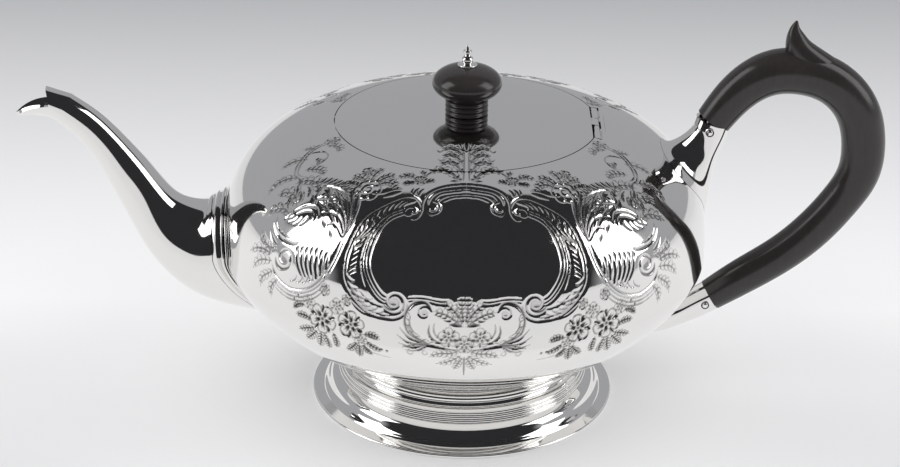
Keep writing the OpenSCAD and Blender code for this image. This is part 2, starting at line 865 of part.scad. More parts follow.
module finial_nut() {
    color("silver")
        translate([0, 0, nut_top_z - nut_t])
            difference() {
                cylinder(r = nut_r, h = nut_t, $fn = 6);
                translate([0, 0, -cut])
                    cylinder(r = stud_r, h = nut_t + 2 * cut, $fn = 32);
            }
}

body_shoulder();
body_bowl();
mouth_ring();
foot_shell();
foot_rim_wire();
foot_bead_wire();
spout_shell();
spout_collar();
spout_root();
upper_socket();
lower_socket();
handle_grip();
upper_pin();
lower_pin();
body_hinge();
hinge_pin();
lid_shell();
lid_bezel();
lid_hinge_leaf();
finial_knob();
finial_cap();
finial_stud();
finial_washer();
finial_nut();
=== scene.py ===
# %% [markdown]
# # A silver teapot with an engraved body
#
# The pot is raised silver: a wide flat-shouldered body on a low stepped foot, a swan-neck
# spout, a flush lid with a turned knob of blackened wood, and a scroll handle of the same
# wood. The frame that this script loads is the plain solid model of every part. Here each
# part gets its finish: engraved ornament, crisp mouldings, mirror silver and waxed wood.

# %% Load the frame
import math
import bmesh
import bpy
import numpy as np
from mathutils import Matrix


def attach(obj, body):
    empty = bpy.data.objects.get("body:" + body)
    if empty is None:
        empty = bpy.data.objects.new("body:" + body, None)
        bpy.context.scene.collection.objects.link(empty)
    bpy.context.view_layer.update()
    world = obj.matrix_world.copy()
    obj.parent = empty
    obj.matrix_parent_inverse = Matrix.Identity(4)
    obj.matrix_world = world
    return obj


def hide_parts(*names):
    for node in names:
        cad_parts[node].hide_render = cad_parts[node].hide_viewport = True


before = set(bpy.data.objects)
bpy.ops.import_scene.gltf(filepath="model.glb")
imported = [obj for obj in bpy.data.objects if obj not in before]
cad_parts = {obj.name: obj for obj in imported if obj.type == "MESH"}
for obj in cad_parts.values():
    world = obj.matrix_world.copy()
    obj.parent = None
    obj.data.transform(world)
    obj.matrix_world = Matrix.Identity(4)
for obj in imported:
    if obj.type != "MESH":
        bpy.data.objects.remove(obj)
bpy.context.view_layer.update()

# %% [markdown]
# ## Measures and small helpers
#
# A silversmith thinks in millimetres, so every shape is worked out in millimetres and only
# turned into metres when a mesh is made. A few helpers do most of the work. They turn a
# written colour into Blender's linear light, add a node with its settings and links, and
# make a mesh from arrays, which is far quicker than adding points one at a time.

# %% Units, colours and nodes
MM = 0.001


def linear(hex_code):
    """A written sRGB colour such as "#C0C0C0" as the linear values that shaders use."""
    srgb = [int(hex_code[i:i + 2], 16) / 255 for i in (1, 3, 5)]
    light = [c / 12.92 if c <= 0.04045 else ((c + 0.055) / 1.055) ** 2.4 for c in srgb]
    return (*light, 1.0)


def add_node(tree, kind, settings=None, inputs=None):
    """A node with its settings, and its inputs as values or as other nodes' outputs."""
    node = tree.nodes.new(kind)
    for name, value in (settings or {}).items():
        setattr(node, name, value)
    for key, value in (inputs or {}).items():
        socket = node.inputs[key]
        if isinstance(value, bpy.types.NodeSocket):
            tree.links.new(value, socket)
        else:
            socket.default_value = value
    return node


def maths(tree, operation, *values):
    """The result of one operation on numbers or other nodes' outputs."""
    node = add_node(tree, "ShaderNodeMath", {"operation": operation}, dict(enumerate(values)))
    return node.outputs["Value"]


def empty_tree(owner):
    """The node tree of a new material or world, with nothing in it."""
    owner.use_nodes = True
    owner.node_tree.nodes.clear()
    return owner.node_tree


def new_object(name, data):
    """An object with this data, linked into the scene."""
    obj = bpy.data.objects.new(name, data)
    bpy.context.scene.collection.objects.link(obj)
    return obj


# %% Meshes from arrays
def grid_faces(rows, cols, wrap_rows=False, wrap_cols=False):
    """Four-sided faces over a grid, facing the side where rows run up and columns run right."""
    r = np.arange(rows if wrap_rows else rows - 1)[:, None]
    c = np.arange(cols if wrap_cols else cols - 1)[None, :]
    r2, c2 = (r + 1) % rows, (c + 1) % cols
    quads = [r * cols + c, r * cols + c2, r2 * cols + c2, r2 * cols + c]
    return np.stack([np.broadcast_to(q, (r.size, c.size)) for q in quads], -1).reshape(-1, 4)


def mesh_of(name, points_mm, faces):
    """A smooth-shaded mesh object from points in millimetres and faces of three or four corners."""
    points = np.asarray(points_mm, float).reshape(-1, 3) * MM
    faces = [np.asarray(f, int) for f in (faces if isinstance(faces, list) else [faces])]
    corners = np.concatenate([f.ravel() for f in faces])
    sizes = np.concatenate([np.full(len(f), f.shape[1]) for f in faces])
    mesh = bpy.data.meshes.new(name)
    mesh.vertices.add(len(points))
    mesh.vertices.foreach_set("co", points.ravel())
    mesh.loops.add(len(corners))
    mesh.loops.foreach_set("vertex_index", corners)
    mesh.polygons.add(len(sizes))
    mesh.polygons.foreach_set("loop_start", np.concatenate([[0], np.cumsum(sizes)[:-1]]))
    mesh.polygons.foreach_set("use_smooth", np.ones(len(sizes), bool))
    mesh.update(calc_edges=True)
    mesh.validate()
    return new_object(name, mesh)


# %% Smooth curves through a few points
def smooth_through(points, count):
    """Count points on a natural cubic spline: its bend has no kink at the given points."""
    p = np.asarray(points, float)
    flat = p.reshape(len(p), -1)
    steps = np.linalg.norm(np.diff(flat, axis=0), axis=1)
    knots = np.concatenate([[0], np.cumsum(np.sqrt(np.maximum(steps, 1e-9)))])
    h = np.diff(knots)
    n = len(p)
    system = np.eye(n)
    right = np.zeros_like(flat)
    for i in range(1, n - 1):
        system[i, i - 1:i + 2] = [h[i - 1], 2 * (h[i - 1] + h[i]), h[i]]
        right[i] = 6 * ((flat[i + 1] - flat[i]) / h[i] - (flat[i] - flat[i - 1]) / h[i - 1])
    bend = np.linalg.solve(system, right)
    t = np.linspace(knots[0], knots[-1], count)
    i = np.clip(np.searchsorted(knots, t, side="right") - 1, 0, n - 2)
    a, b, w = (knots[i + 1] - t)[:, None], (t - knots[i])[:, None], h[i][:, None]
    out = (bend[i] * a ** 3 + bend[i + 1] * b ** 3) / (6 * w) \
        + (flat[i] / w - bend[i] * w / 6) * a + (flat[i + 1] / w - bend[i + 1] * w / 6) * b
    return out.reshape((count,) + p.shape[1:])


# %% [markdown]
# ## Silver and wood
#
# Old silver that is kept polished is close to a mirror. What tells it from chrome is a
# slightly warm grey, fine wiping marks that soften the reflections a little, and dark
# tarnish that the cloth leaves in every engraved line. The wood is pear or ebony, dyed
# black and waxed: a dark brown-grey with a soft shine and hardly any grain.

# %% Polished silver
CLEAN_SILVER, TARNISHED = linear("#EFEEEC"), linear("#2E2B28")
WIPE_SIZE, HAMMER_SIZE, HAMMER_DEPTH = 3.0 * MM, 12 * MM, 0.05 * MM


def silver_finish(name, engraved):
    """Hand-polished sterling silver, with tarnish in the engraved lines if it has any."""
    material = bpy.data.materials.new(name)
    tree = empty_tree(material)
    place = add_node(tree, "ShaderNodeTexCoord").outputs["Object"]
    # Wiping marks, some 3 mm wide, only change how sharp the mirror is
    wipes = add_node(tree, "ShaderNodeTexNoise", {}, {
        "Vector": place, "Scale": 1 / WIPE_SIZE, "Detail": 3.0, "Roughness": 0.6})
    rough = add_node(tree, "ShaderNodeMapRange", {}, {
        "Value": wipes.outputs["Fac"], "From Min": 0.35, "From Max": 0.7,
        "To Min": 0.045, "To Max": 0.085})
    # Slow waves left by the planishing hammer, hardly deep
    waves = add_node(tree, "ShaderNodeTexNoise", {}, {
        "Vector": place, "Scale": 1 / HAMMER_SIZE, "Detail": 1.0, "Roughness": 0.4})
    bump = add_node(tree, "ShaderNodeBump", {}, {
        "Height": waves.outputs["Fac"], "Strength": 0.25, "Distance": HAMMER_DEPTH})
    silver = add_node(tree, "ShaderNodeBsdfPrincipled", {}, {
        "Metallic": 1.0, "Base Color": CLEAN_SILVER, "Roughness": rough.outputs["Result"],
        "Normal": bump.outputs["Normal"]})
    if engraved:
        depth = add_node(tree, "ShaderNodeAttribute", {"attribute_name": "cut"}).outputs["Fac"]
        colour = add_node(tree, "ShaderNodeMix", {"data_type": "RGBA"}, {
            "Factor": depth, "A": CLEAN_SILVER, "B": TARNISHED})
        tree.links.new(colour.outputs["Result"], silver.inputs["Base Color"])
        dull = maths(tree, "MULTIPLY_ADD", depth, 0.3, rough.outputs["Result"])
        tree.links.new(dull, silver.inputs["Roughness"])
    add_node(tree, "ShaderNodeOutputMaterial", {}, {"Surface": silver.outputs["BSDF"]})
    print("material:", name)
    return material


polished_silver = silver_finish("polished_sterling_silver", False)
engraved_silver = silver_finish("engraved_sterling_silver", True)


# %% Ebonised wood
PORE_SIZE, PORE_DEPTH, PATCH_SIZE = 0.9 * MM, 0.03 * MM, 9 * MM


def ebonised_finish():
    """Hardwood dyed black and waxed, with faint long pores."""
    material = bpy.data.materials.new("ebonised_waxed_wood")
    tree = empty_tree(material)
    place = add_node(tree, "ShaderNodeTexCoord").outputs["Object"]
    grain_way = add_node(tree, "ShaderNodeMapping", {},
                         {"Vector": place, "Scale": (1.0, 1.0, 0.12)})
    pores = add_node(tree, "ShaderNodeTexNoise", {}, {
        "Vector": grain_way.outputs["Vector"], "Scale": 1 / PORE_SIZE, "Detail": 3.0})
    patches = add_node(tree, "ShaderNodeTexNoise", {}, {
        "Vector": place, "Scale": 1 / PATCH_SIZE, "Detail": 2.0})
    blend = maths(tree, "MULTIPLY", pores.outputs["Fac"], patches.outputs["Fac"])
    colour = add_node(tree, "ShaderNodeMix", {"data_type": "RGBA"}, {
        "Factor": blend, "A": linear("#2A2726"), "B": linear("#3C3836")})
    rough = add_node(tree, "ShaderNodeMapRange", {}, {
        "Value": patches.outputs["Fac"], "From Min": 0.3, "From Max": 0.7,
        "To Min": 0.17, "To Max": 0.25})
    bump = add_node(tree, "ShaderNodeBump", {}, {
        "Height": pores.outputs["Fac"], "Strength": 0.3, "Distance": PORE_DEPTH})
    wood = add_node(tree, "ShaderNodeBsdfPrincipled", {}, {
        "Base Color": colour.outputs["Result"], "Roughness": rough.outputs["Result"],
        "Normal": bump.outputs["Normal"]})
    add_node(tree, "ShaderNodeOutputMaterial", {}, {"Surface": wood.outputs["BSDF"]})
    print("material:", material.name)
    return material


ebonised_wood = ebonised_finish()

# %% [markdown]
# ## The curve of the body
#
# Seen from the side, the body is two quarter curves that meet at its widest line: a full,
# nearly square one above, like a cushion, and a softer one below. Both are superellipses,
# circles whose power is changed: power 2 is an ellipse, and a higher one is squarer. The
# body and its lid share one such curve, so the lid lies flush in the shoulder.

# %% Body curve
WAIST_R, WAIST_Z = 78.0, 52.7
DOME_H, DOME_POWER = 45.1, 2.93
BOWL_H, BOWL_POWER = 46.6, 1.5
FLOOR_R, WALL = 20.0, 1.2
MOUTH_R, LID_R = 42.2, 41.9
CROWN_Z = WAIST_Z + DOME_H


def bowl_z(r):
    """Height of the bowl at radius r."""
    share = np.minimum(np.abs(r) / WAIST_R, 1)
    return WAIST_Z - BOWL_H * (1 - share ** BOWL_POWER) ** (1 / BOWL_POWER)


def body_radius(z, out=0.0):
    """Radius of the body at height z, or of a larger body that stands this far out from it."""
    h, n = (DOME_H, DOME_POWER) if z > WAIST_Z else (BOWL_H, BOWL_POWER)
    return (WAIST_R + out) * (1 - min(abs(z - WAIST_Z) / (h + out), 1) ** n) ** (1 / n)


def superellipse(angles, h, n):
    """Radius and height on one quarter curve, for angles above (or below) the widest line."""
    c, s = np.cos(angles), np.sin(angles)
    heights = WAIST_Z + np.sign(s) * h * np.abs(s) ** (2 / n)
    return np.stack([WAIST_R * np.abs(c) ** (2 / n), heights], -1)


floor_angle = math.acos((FLOOR_R / WAIST_R) ** (BOWL_POWER / 2))
low = superellipse(-np.linspace(floor_angle, 0, 1200), BOWL_H, BOWL_POWER)
high = superellipse(np.linspace(0, math.pi / 2, 1600)[1:], DOME_H, DOME_POWER)
meridian = np.concatenate([[[0, low[0, 1]]], low, high])
lengths = np.concatenate([[0], np.cumsum(np.hypot(*np.diff(meridian, axis=0).T))])
waist_length = lengths[len(low)]


def along_body(v):
    """Radius and height at v millimetres above the widest line, measured along the surface."""
    s = np.asarray(v, float) + waist_length
    return np.interp(s, lengths, meridian[:, 0]), np.interp(s, lengths, meridian[:, 1])


def length_at_radius(r):
    """Distance v along the upper surface at which the curve has come in to radius r."""
    top = meridian[len(low):]
    return np.interp(-np.asarray(r, float), -top[:, 0], lengths[len(low):]) - waist_length


def body_normals(points_mm):
    """Outward direction of the plain body at each point."""
    x, y, z = points_mm.T
    r = np.maximum(np.hypot(x, y), 1e-6)
    up = z > WAIST_Z
    h, n = np.where(up, DOME_H, BOWL_H), np.where(up, DOME_POWER, BOWL_POWER)
    radial = (r / WAIST_R) ** (n - 1) / WAIST_R
    axial = np.sign(z - WAIST_Z) * (np.abs(z - WAIST_Z) / h) ** (n - 1) / h
    out = np.stack([radial * x / r, radial * y / r, axial], -1)
    return out / np.linalg.norm(out, axis=1, keepdims=True)


print("mouth at", round(float(length_at_radius(MOUTH_R)), 2), "mm along the shoulder")

# %% [markdown]
# ## Turned ware
#
# Everything round on this pot follows one rule: a profile turned about an axis. So one
# Geometry Nodes tree makes all of it. It takes a flat sheet, on which one direction is the
# angle round the axis, the other the distance along the profile, and the height above the
# sheet is how far the surface stands out or is cut in. The tree samples the profile curve
# at that distance and wraps the sheet round it, as a strip of engraved metal would wrap
# round a chuck. A spun or lathed mesh would do for the plain parts, but only a sheet can
# carry the engraving with it.

# %% The wrapping tree
def wrapping_tree():
    tree = bpy.data.node_groups.new("wrap_sheet_round_profile", "GeometryNodeTree")
    for name, kind in (("Sheet", "Geometry"), ("Profile", "Object"), ("Start length", "Float"),
                       ("Finish", "Material")):
        tree.interface.new_socket(name, in_out="INPUT", socket_type="NodeSocket" + kind)
    tree.interface.new_socket("Ware", in_out="OUTPUT", socket_type="NodeSocketGeometry")
    given = add_node(tree, "NodeGroupInput").outputs
    profile = add_node(tree, "GeometryNodeObjectInfo", {"transform_space": "ORIGINAL"}, {
        "Object": given["Profile"]}).outputs["Geometry"]
    where = add_node(tree, "ShaderNodeSeparateXYZ", {}, {
        0: add_node(tree, "GeometryNodeInputPosition").outputs["Position"]}).outputs
    length = maths(tree, "ADD", where["Y"], given["Start length"])
    sample = add_node(tree, "GeometryNodeSampleCurve", {"mode": "LENGTH", "use_all_curves": True}, {
        "Curves": profile, "Length": length}).outputs
    point = add_node(tree, "ShaderNodeSeparateXYZ", {}, {0: sample["Position"]}).outputs
    tangent = add_node(tree, "ShaderNodeSeparateXYZ", {}, {0: sample["Tangent"]}).outputs
    radius = maths(tree, "MULTIPLY_ADD", tangent["Z"], where["Z"], point["X"])
    height = maths(tree, "SUBTRACT", point["Z"], maths(tree, "MULTIPLY", tangent["X"], where["Z"]))
    out = add_node(tree, "ShaderNodeCombineXYZ", {}, {
        "Y": maths(tree, "MULTIPLY", radius, -1.0), "Z": height})
    turn = add_node(tree, "ShaderNodeVectorRotate", {"rotation_type": "Z_AXIS"}, {
        "Vector": out.outputs["Vector"], "Angle": where["X"]}).outputs["Vector"]
    placed = add_node(tree, "GeometryNodeSetPosition", {}, {
        "Geometry": given["Sheet"], "Position": turn}).outputs["Geometry"]
    merged = add_node(tree, "GeometryNodeMergeByDistance", {}, {
        "Geometry": placed, "Distance": 0.002 * MM}).outputs["Geometry"]
    real = add_node(tree, "GeometryNodeRealizeInstances", {}, {"Geometry": merged})
    done = add_node(tree, "GeometryNodeSetMaterial", {}, {
        "Geometry": real.outputs["Geometry"], "Material": given["Finish"]}).outputs["Geometry"]
    add_node(tree, "NodeGroupOutput", {}, {"Ware": done})
    return tree


wrap_tree = wrapping_tree()
socket_ids = {item.name: item.identifier for item in wrap_tree.interface.items_tree
              if item.in_out == "INPUT"}
print("tree inputs:", ", ".join(socket_ids))


# %% Using the tree
def profile_curve(name, outline_mm):
    """A curve object along radius (X) and height (Z)."""
    curve = bpy.data.curves.new(name, "CURVE")
    curve.dimensions = "3D"
    spline = curve.splines.new("POLY")
    spline.points.add(len(outline_mm) - 1)
    points = np.zeros((len(outline_mm), 4))
    points[:, 0], points[:, 2] = np.asarray(outline_mm).T * MM
    spline.points.foreach_set("co", points.ravel())
    return new_object(name, curve)


def wrap(name, angles, rows, profile, start_mm, finish, dark=None):
    """Turned ware, as a plain mesh object, from a sheet of rows (distance, height) by angles."""
    distance, height = rows
    count = (distance.shape[0], len(angles))
    sheet = np.empty(count + (3,))
    sheet[..., 0] = np.asarray(angles)[None, :] / MM
    sheet[..., 1] = distance
    sheet[..., 2] = height
    obj = mesh_of(name + "_sheet", sheet, grid_faces(*count))
    if dark is not None:
        obj.data.attributes.new("cut", "FLOAT", "POINT").data.foreach_set("value", dark.ravel())
    modifier = obj.modifiers.new("wrap", "NODES")
    modifier.node_group = wrap_tree
    modifier[socket_ids["Profile"]] = profile
    modifier[socket_ids["Start length"]] = start_mm * MM
    modifier[socket_ids["Finish"]] = finish
    bpy.context.view_layer.update()
    evaluated = obj.evaluated_get(bpy.context.evaluated_depsgraph_get())
    shape = bpy.data.meshes.new_from_object(evaluated)
    bpy.data.objects.remove(obj)
    shape.name = name
    return new_object(name, shape)


def finish_normals(obj, sharp_degrees, normals_of=None):
    """Keeps edges sharp past an angle, and shades a panel's rim points as the plain surface."""
    mesh = obj.data
    mesh.polygons.foreach_set("use_smooth", np.ones(len(mesh.polygons), bool))
    mesh.set_sharp_from_angle(angle=math.radians(sharp_degrees))
    if normals_of is None:
        return
    corner = np.empty(len(mesh.loops), int)
    mesh.loops.foreach_get("vertex_index", corner)
    edge_of = np.empty(len(mesh.loops), int)
    mesh.loops.foreach_get("edge_index", edge_of)
    uses = np.bincount(edge_of, minlength=len(mesh.edges))
    ends = np.empty(len(mesh.edges) * 2, int)
    mesh.edges.foreach_get("vertices", ends)
    rim = np.zeros(len(mesh.vertices), bool)
    rim[ends.reshape(-1, 2)[uses == 1].ravel()] = True
    points = np.empty(len(mesh.vertices) * 3)
    mesh.vertices.foreach_get("co", points)
    plain = normals_of(points.reshape(-1, 3) / MM)
    normals = np.empty(len(mesh.loops) * 3)
    mesh.corner_normals.foreach_get("vector", normals)
    normals = normals.reshape(-1, 3)
    side = np.sum(normals * plain[corner], axis=1)
    use = rim[corner] & (np.abs(side) > 0.7)
    normals[use] = plain[corner[use]] * np.sign(side[use])[:, None]
    mesh.normals_split_custom_set(normals)


def turned(name, outline_mm, finish, around=192, sharp_degrees=35):
    """A piece turned from one outline that runs up its outside."""
    outline = np.asarray(outline_mm, float)
    profile = profile_curve(name + "_outline", outline)
    run = np.concatenate([[0], np.cumsum(np.hypot(*np.diff(outline, axis=0).T))])
    # The last point is sampled a hair before the curve's end
    run[-1] -= 1e-4
    angles = np.linspace(0, 2 * math.pi, around + 1)
    rows = (np.broadcast_to(run[:, None], (len(run), len(angles))), 0.0)
    obj = wrap(name, angles, rows, profile, 0.0, finish)
    bpy.data.objects.remove(profile)
    finish_normals(obj, sharp_degrees)
    print(name, len(obj.data.polygons), "faces")
    return obj


def arc(centre, radius, start, end, steps):
    """Points [r, z] on an arc, angles in degrees from outward (0) to up (90)."""
    a = np.radians(np.linspace(start, end, steps))
    return [[centre[0] + radius * math.cos(t), centre[1] + radius * math.sin(t)] for t in a]


# %% [markdown]
# ## The engraver's plate
#
# The ornament was cut by hand with a graver: a small steel chisel that is rolled as it is
# pushed, so every cut swells and tapers and throws light from a sloping side. The same is
# done here on a flat plate of numbers, one for each fifth of a millimetre of the body. Each
# stroke stamps a groove along a smooth path and keeps the deepest cut. Only one half is
# drawn, because the two halves mirror each other. A picture of lines used as bump would be
# simpler, but it would not catch the light of the room from its slopes as real cuts do.

# %% Plate and graver
PANEL_HALF, PANEL_LOW = 97.0, -14.0
FINE, STROKE_STEP = 0.2, 0.15
# One number makes the whole engraving finer or bolder
BOLD = 1.55
# A V-shaped cut is this deep for its width, and this narrow where it starts and ends
CUT_DEPTH, THIN_END, SWELL_POWER = 0.38, 0.2, 0.7
# The cloth leaves tarnish only in the deeper part of a cut
TARNISH_GAIN, TARNISH_FROM = 2.0, 0.45
U_LOW, U_HIGH, V_LOW, V_HIGH = -99.0, 3.0, -16.0, 84.0
plate_u = np.arange(U_LOW, U_HIGH, FINE)
plate_v = np.arange(V_LOW, V_HIGH, FINE)
cut_depth = np.zeros((len(plate_v), len(plate_u)))
tarnish = np.zeros_like(cut_depth)


def across(v):
    """How much narrower the body is at distance v than at its widest line."""
    return np.maximum(along_body(v)[0], 3.0) / WAIST_R


def way_along(path):
    """Close points on a smooth line through a few points, in plate coordinates."""
    path = np.asarray(path, float)
    k = across(path[:, 1])
    real = path * np.stack([k, np.ones_like(k)], 1)
    length = np.hypot(*np.diff(real, axis=0).T).sum()
    count = max(int(length * 1.15 / STROKE_STEP), 4)
    if len(path) == 2:
        return path[0] + (path[1] - path[0]) * np.linspace(0, 1, count)[:, None]
    return smooth_through(path, count)


def directions(line):
    """Narrowing of the body and true unit direction at each point of a plate line."""
    k = across(line[:, 1])
    run = np.gradient(line, axis=0) * np.stack([k, np.ones_like(k)], 1)
    return k, run / np.maximum(np.linalg.norm(run, axis=1, keepdims=True), 1e-9)


def beside(path, distance):
    """The line that runs this far to the left of a path."""
    line = way_along(path)[::6]
    k, run = directions(line)
    left = np.stack([-run[:, 1], run[:, 0]], 1)
    return line + distance * left / np.stack([k, np.ones_like(k)], 1)


def cut(path, width=0.6, depth=None, dark=0.45, taper=(0.3, 0.45), hollow=False):
    """One stroke of the graver, V-shaped or a shallow hollow, that swells and tapers."""
    width = width * BOLD
    line = way_along(path)
    t = np.linspace(0, 1, len(line))
    rise, fall = np.clip(t / taper[0], 0, 1), np.clip((1 - t) / taper[1], 0, 1)
    swell = THIN_END + (1 - THIN_END) * (rise ** SWELL_POWER * fall ** SWELL_POWER)
    depth = width * CUT_DEPTH if depth is None else depth * BOLD
    for (u, v), grow in zip(line, swell):
        half = 0.5 * width * grow
        k = float(across(v))
        j0, j1 = np.searchsorted(plate_u, (u - half / k - FINE, u + half / k + FINE))
        i0, i1 = np.searchsorted(plate_v, (v - half - FINE, v + half + FINE))
        if j0 >= j1 or i0 >= i1:
            continue
        away = np.hypot((plate_u[None, j0:j1] - u) * k, plate_v[i0:i1, None] - v) / half
        shape = (1 - np.minimum(away, 1) ** 2) ** 2 if hollow else np.clip(1 - away, 0, 1)
        window = (slice(i0, i1), slice(j0, j1))
        cut_depth[window] = np.maximum(cut_depth[window], depth * grow * shape)
        stain = dark * np.clip(TARNISH_GAIN * shape - TARNISH_FROM, 0, 1)
        tarnish[window] = np.maximum(tarnish[window], stain)


# %% Motifs
def rows_of(path, distances, **how):
    """Cuts side by side, as the wires of a scroll."""
    for d in distances:
        cut(beside(path, d), **how)


def curl(centre, radius, start, turns=1.3, way=1, width=0.6, ball=True):
    """A line that winds inwards to a ball, as at the end of a scroll."""
    t = np.linspace(0, 1, 24)
    angle = math.radians(start) + way * 2 * math.pi * turns * t
    r = radius * (1 - 0.72 * t)
    k = float(across(centre[1]))
    winding = np.stack([centre[0] + r * np.cos(angle) / k, centre[1] + r * np.sin(angle)], 1)
    cut(winding, width, taper=(0.1, 0.5))
    if ball:
        dot = [(centre[0] - 0.05, centre[1]), (centre[0] + 0.05, centre[1])]
        cut(dot, radius, depth=0.16, dark=0.2, taper=(0.01, 0.01), hollow=True)


def leaf(path, width, veins=5, sides=(-1, 1), line=0.5, dark=0.8):
    """An acanthus leaf: a hollow each side of its rib, sweeping veins and a lobed edge."""
    rib = way_along(path)
    for side in sides:
        cut(beside(path, 0.22 * side * width), 0.3 * width, hollow=True, depth=0.1, dark=0.05,
            taper=(0.4, 0.5))
    cut(path, line * 1.15, dark=dark)
    k, run = directions(rib)
    for side in sides:
        left = np.stack([-run[:, 1], run[:, 0]], 1) * side
        tips = []
        for j in range(veins):
            share = (j + 0.6) / (veins + 0.6)
            i = int(share * (len(rib) - 1))
            reach = 0.5 * width * math.sin(math.pi * share ** 0.75) + 0.25
            start = rib[i]
            scale = np.array([1 / k[i], 1.0])
            mid = start + (left[i] * reach * 0.6 + run[i] * reach * 0.25) * scale
            tip = start + (left[i] * reach + run[i] * reach * 0.95) * scale
            tips.append((tip, start, left[i], run[i], reach, scale))
            cut([start, mid, tip], line * 0.95, dark=dark, taper=(0.1, 0.8))
        for (tip, *_), (_, start, out, on, reach, scale) in zip(tips, tips[1:]):
            notch = start + (out * reach * 0.55 - on * 0.05) * scale
            crest = 0.5 * (tip + notch) + (out * 0.12 * reach) * scale
            cut([tip, crest, notch], line * 0.5, dark=dark * 0.8, taper=(0.15, 0.3))


def flower(centre, radius, petals=5, turn=0.0, line=0.45, dark=0.85):
    """An open flower: each petal is a hollow with a loop round it and short cuts at its heart."""
    k = float(across(centre[1]))
    c = np.array(centre, float)
    for j in range(petals):
        a = math.radians(turn) + 2 * math.pi * j / petals
        half = math.pi / petals * 0.92

        def at(r, da):
            return c + np.array([r * math.cos(a + da) / k, r * math.sin(a + da)])
        cut([at(0.5 * radius, 0), at(0.8 * radius, 0)], 0.42 * radius, hollow=True, depth=0.13,
            dark=0.05, taper=(0.1, 0.1))
        loop = ((0.28, 0), (0.7, 0.85), (0.97, 0.45), (1.0, 0), (0.97, -0.45), (0.7, -0.85),
                (0.28, 0))
        cut([at(r * radius, half * da) for r, da in loop], line * 0.8, dark=dark * 0.7,
            taper=(0.45, 0.5))
        for da, out in ((-0.45, 0.55), (-0.15, 0.7), (0.15, 0.6), (0.45, 0.75)):
            cut([at(0.22 * radius, da * half), at(out * radius, da * half * 0.8)], line * 0.8,
                dark=dark, taper=(0.05, 0.9))
        gap = [at(0.45 * radius, half), at(0.95 * radius, half * 1.02)]
        cut(gap, line * 1.3, dark=dark, taper=(0.5, 0.2))
    cut([c - [0.05, 0], c + [0.05, 0]], 0.3 * radius, depth=0.12, dark=0.9, taper=(0.01, 0.01))


def rose(centre, radius):
    """A full rose: a winding heart and six overlapping petals."""
    curl(centre, radius * 0.55, 30, 1.4, 1, 0.5, ball=False)
    k = float(across(centre[1]))
    c = np.array(centre, float)
    for j in range(6):
        a = j * math.pi / 3 + 0.3
        pts = [c + np.array([math.cos(a + d) / k, math.sin(a + d)]) * radius * r
               for d, r in ((-0.6, 0.6), (-0.35, 0.98), (0.15, 1.05), (0.6, 0.85), (0.7, 0.55))]
        cut(pts, 0.55, taper=(0.1, 0.3))


def shade(path, width=1.4, dark=0.9):
    """A dark crescent, cut wide and left matt."""
    cut(path, width, depth=0.16, dark=dark, taper=(0.5, 0.5))


def lobes(path, count, reach, lean, width=0.9, dark=0.85):
    """Hollow lobes across a band, one after the other, each with a dark cut under it."""
    line = way_along(path)
    k, run = directions(line)
    for j in range(count):
        i = int((j + 0.5) / count * (len(line) - 1))
        left, flat = np.array([-run[i, 1], run[i, 0]]), np.array([1 / k[i], 1.0])
        ends = [(line[i] + (left * a * reach + run[i] * b * lean) * flat)
                for a, b in ((-0.5, -0.6), (0.1, -0.25), (0.5, 0.6))]
        back = run[i] * width * 0.62 * flat
        cut(ends, width, hollow=True, depth=0.16, dark=0.02, taper=(0.6, 0.15))
        shade([e - back for e in ends], 0.42, dark)


def plume(root, tips, bend=0.25, line=0.5, dark=0.75):
    """Long curved cuts that spring from one root to several tips."""
    root = np.array(root, float)
    for tip in tips:
        tip = np.array(tip, float)
        way = tip - root
        mid = root + 0.55 * way + bend * np.array([-way[1], way[0]])
        cut([root, mid, tip], line, dark=dark, taper=(0.2, 0.55))


print("plate", cut_depth.shape)

# %% [markdown]
# ## The ornament
#
# The pattern is the revived rococo of the middle of the nineteenth century: a plain oval in
# the middle, left free, framed by broad C-scrolls with acanthus, fans of shell and plume
# to both sides, small flower sprays, and a palmette on the lid. Positions are millimetres
# round the body from the middle of the front, and along its surface from the widest line.

# %% Frame of the oval
oval = [(-23.5, 15.5), (-25, 16), (-28, 19), (-30.8, 24), (-31.2, 29.5), (-30.3, 35), (-27.5, 39.5),
        (-23, 42)]
rows_of(oval, (0, 1.1, 2.0), width=0.6, dark=0.4, taper=(0.05, 0.05))
cut([(-31.0, 17), (-33.6, 22), (-34.4, 28), (-33.6, 34)], 1.0, hollow=True, dark=0.1)
scroll = [(-17.2, 14.5), (-17.9, 11.4), (-20.5, 9.3), (-24, 8.8), (-30, 9.8), (-35, 13.5),
          (-38.5, 18), (-39.7, 24), (-39.5, 30), (-38, 38), (-35, 42), (-31, 45.5), (-27, 48),
          (-22, 48.8), (-18.5, 46.5), (-17.5, 44), (-18.5, 41), (-21, 40.5)]
cut(scroll, 0.75, taper=(0.02, 0.02))
band = scroll[2:13]
rows_of(band, (-1.1,), width=0.5, taper=(0.1, 0.1))
lobes([(-25, 10.9), (-30.5, 12.2), (-34.4, 15.6), (-36.9, 20.4)], 7, 2.7, 2.6, 1.1)
lobes([(-36.6, 27.5), (-36.2, 33), (-34.2, 38.2), (-30.4, 42.3), (-25.8, 44.9), (-22.2, 45.4)], 11,
      3.4, 3.2, 1.15)
rows_of(scroll[3:6], (-3.6,), width=0.55, taper=(0.2, 0.5))
curl((-21.3, 14.3), 4.0, 200, 1.2, 1, 0.8)
curl((-21.3, 14.3), 2.6, 150, 0.9, 1, 0.6, ball=False)
shade([(-24.6, 13.2), (-23.4, 12.1), (-21.6, 11.9), (-19.8, 12.9)], 1.0)
curl((-21.7, 42.6), 2.5, 330, 1.2, 1, 0.6)

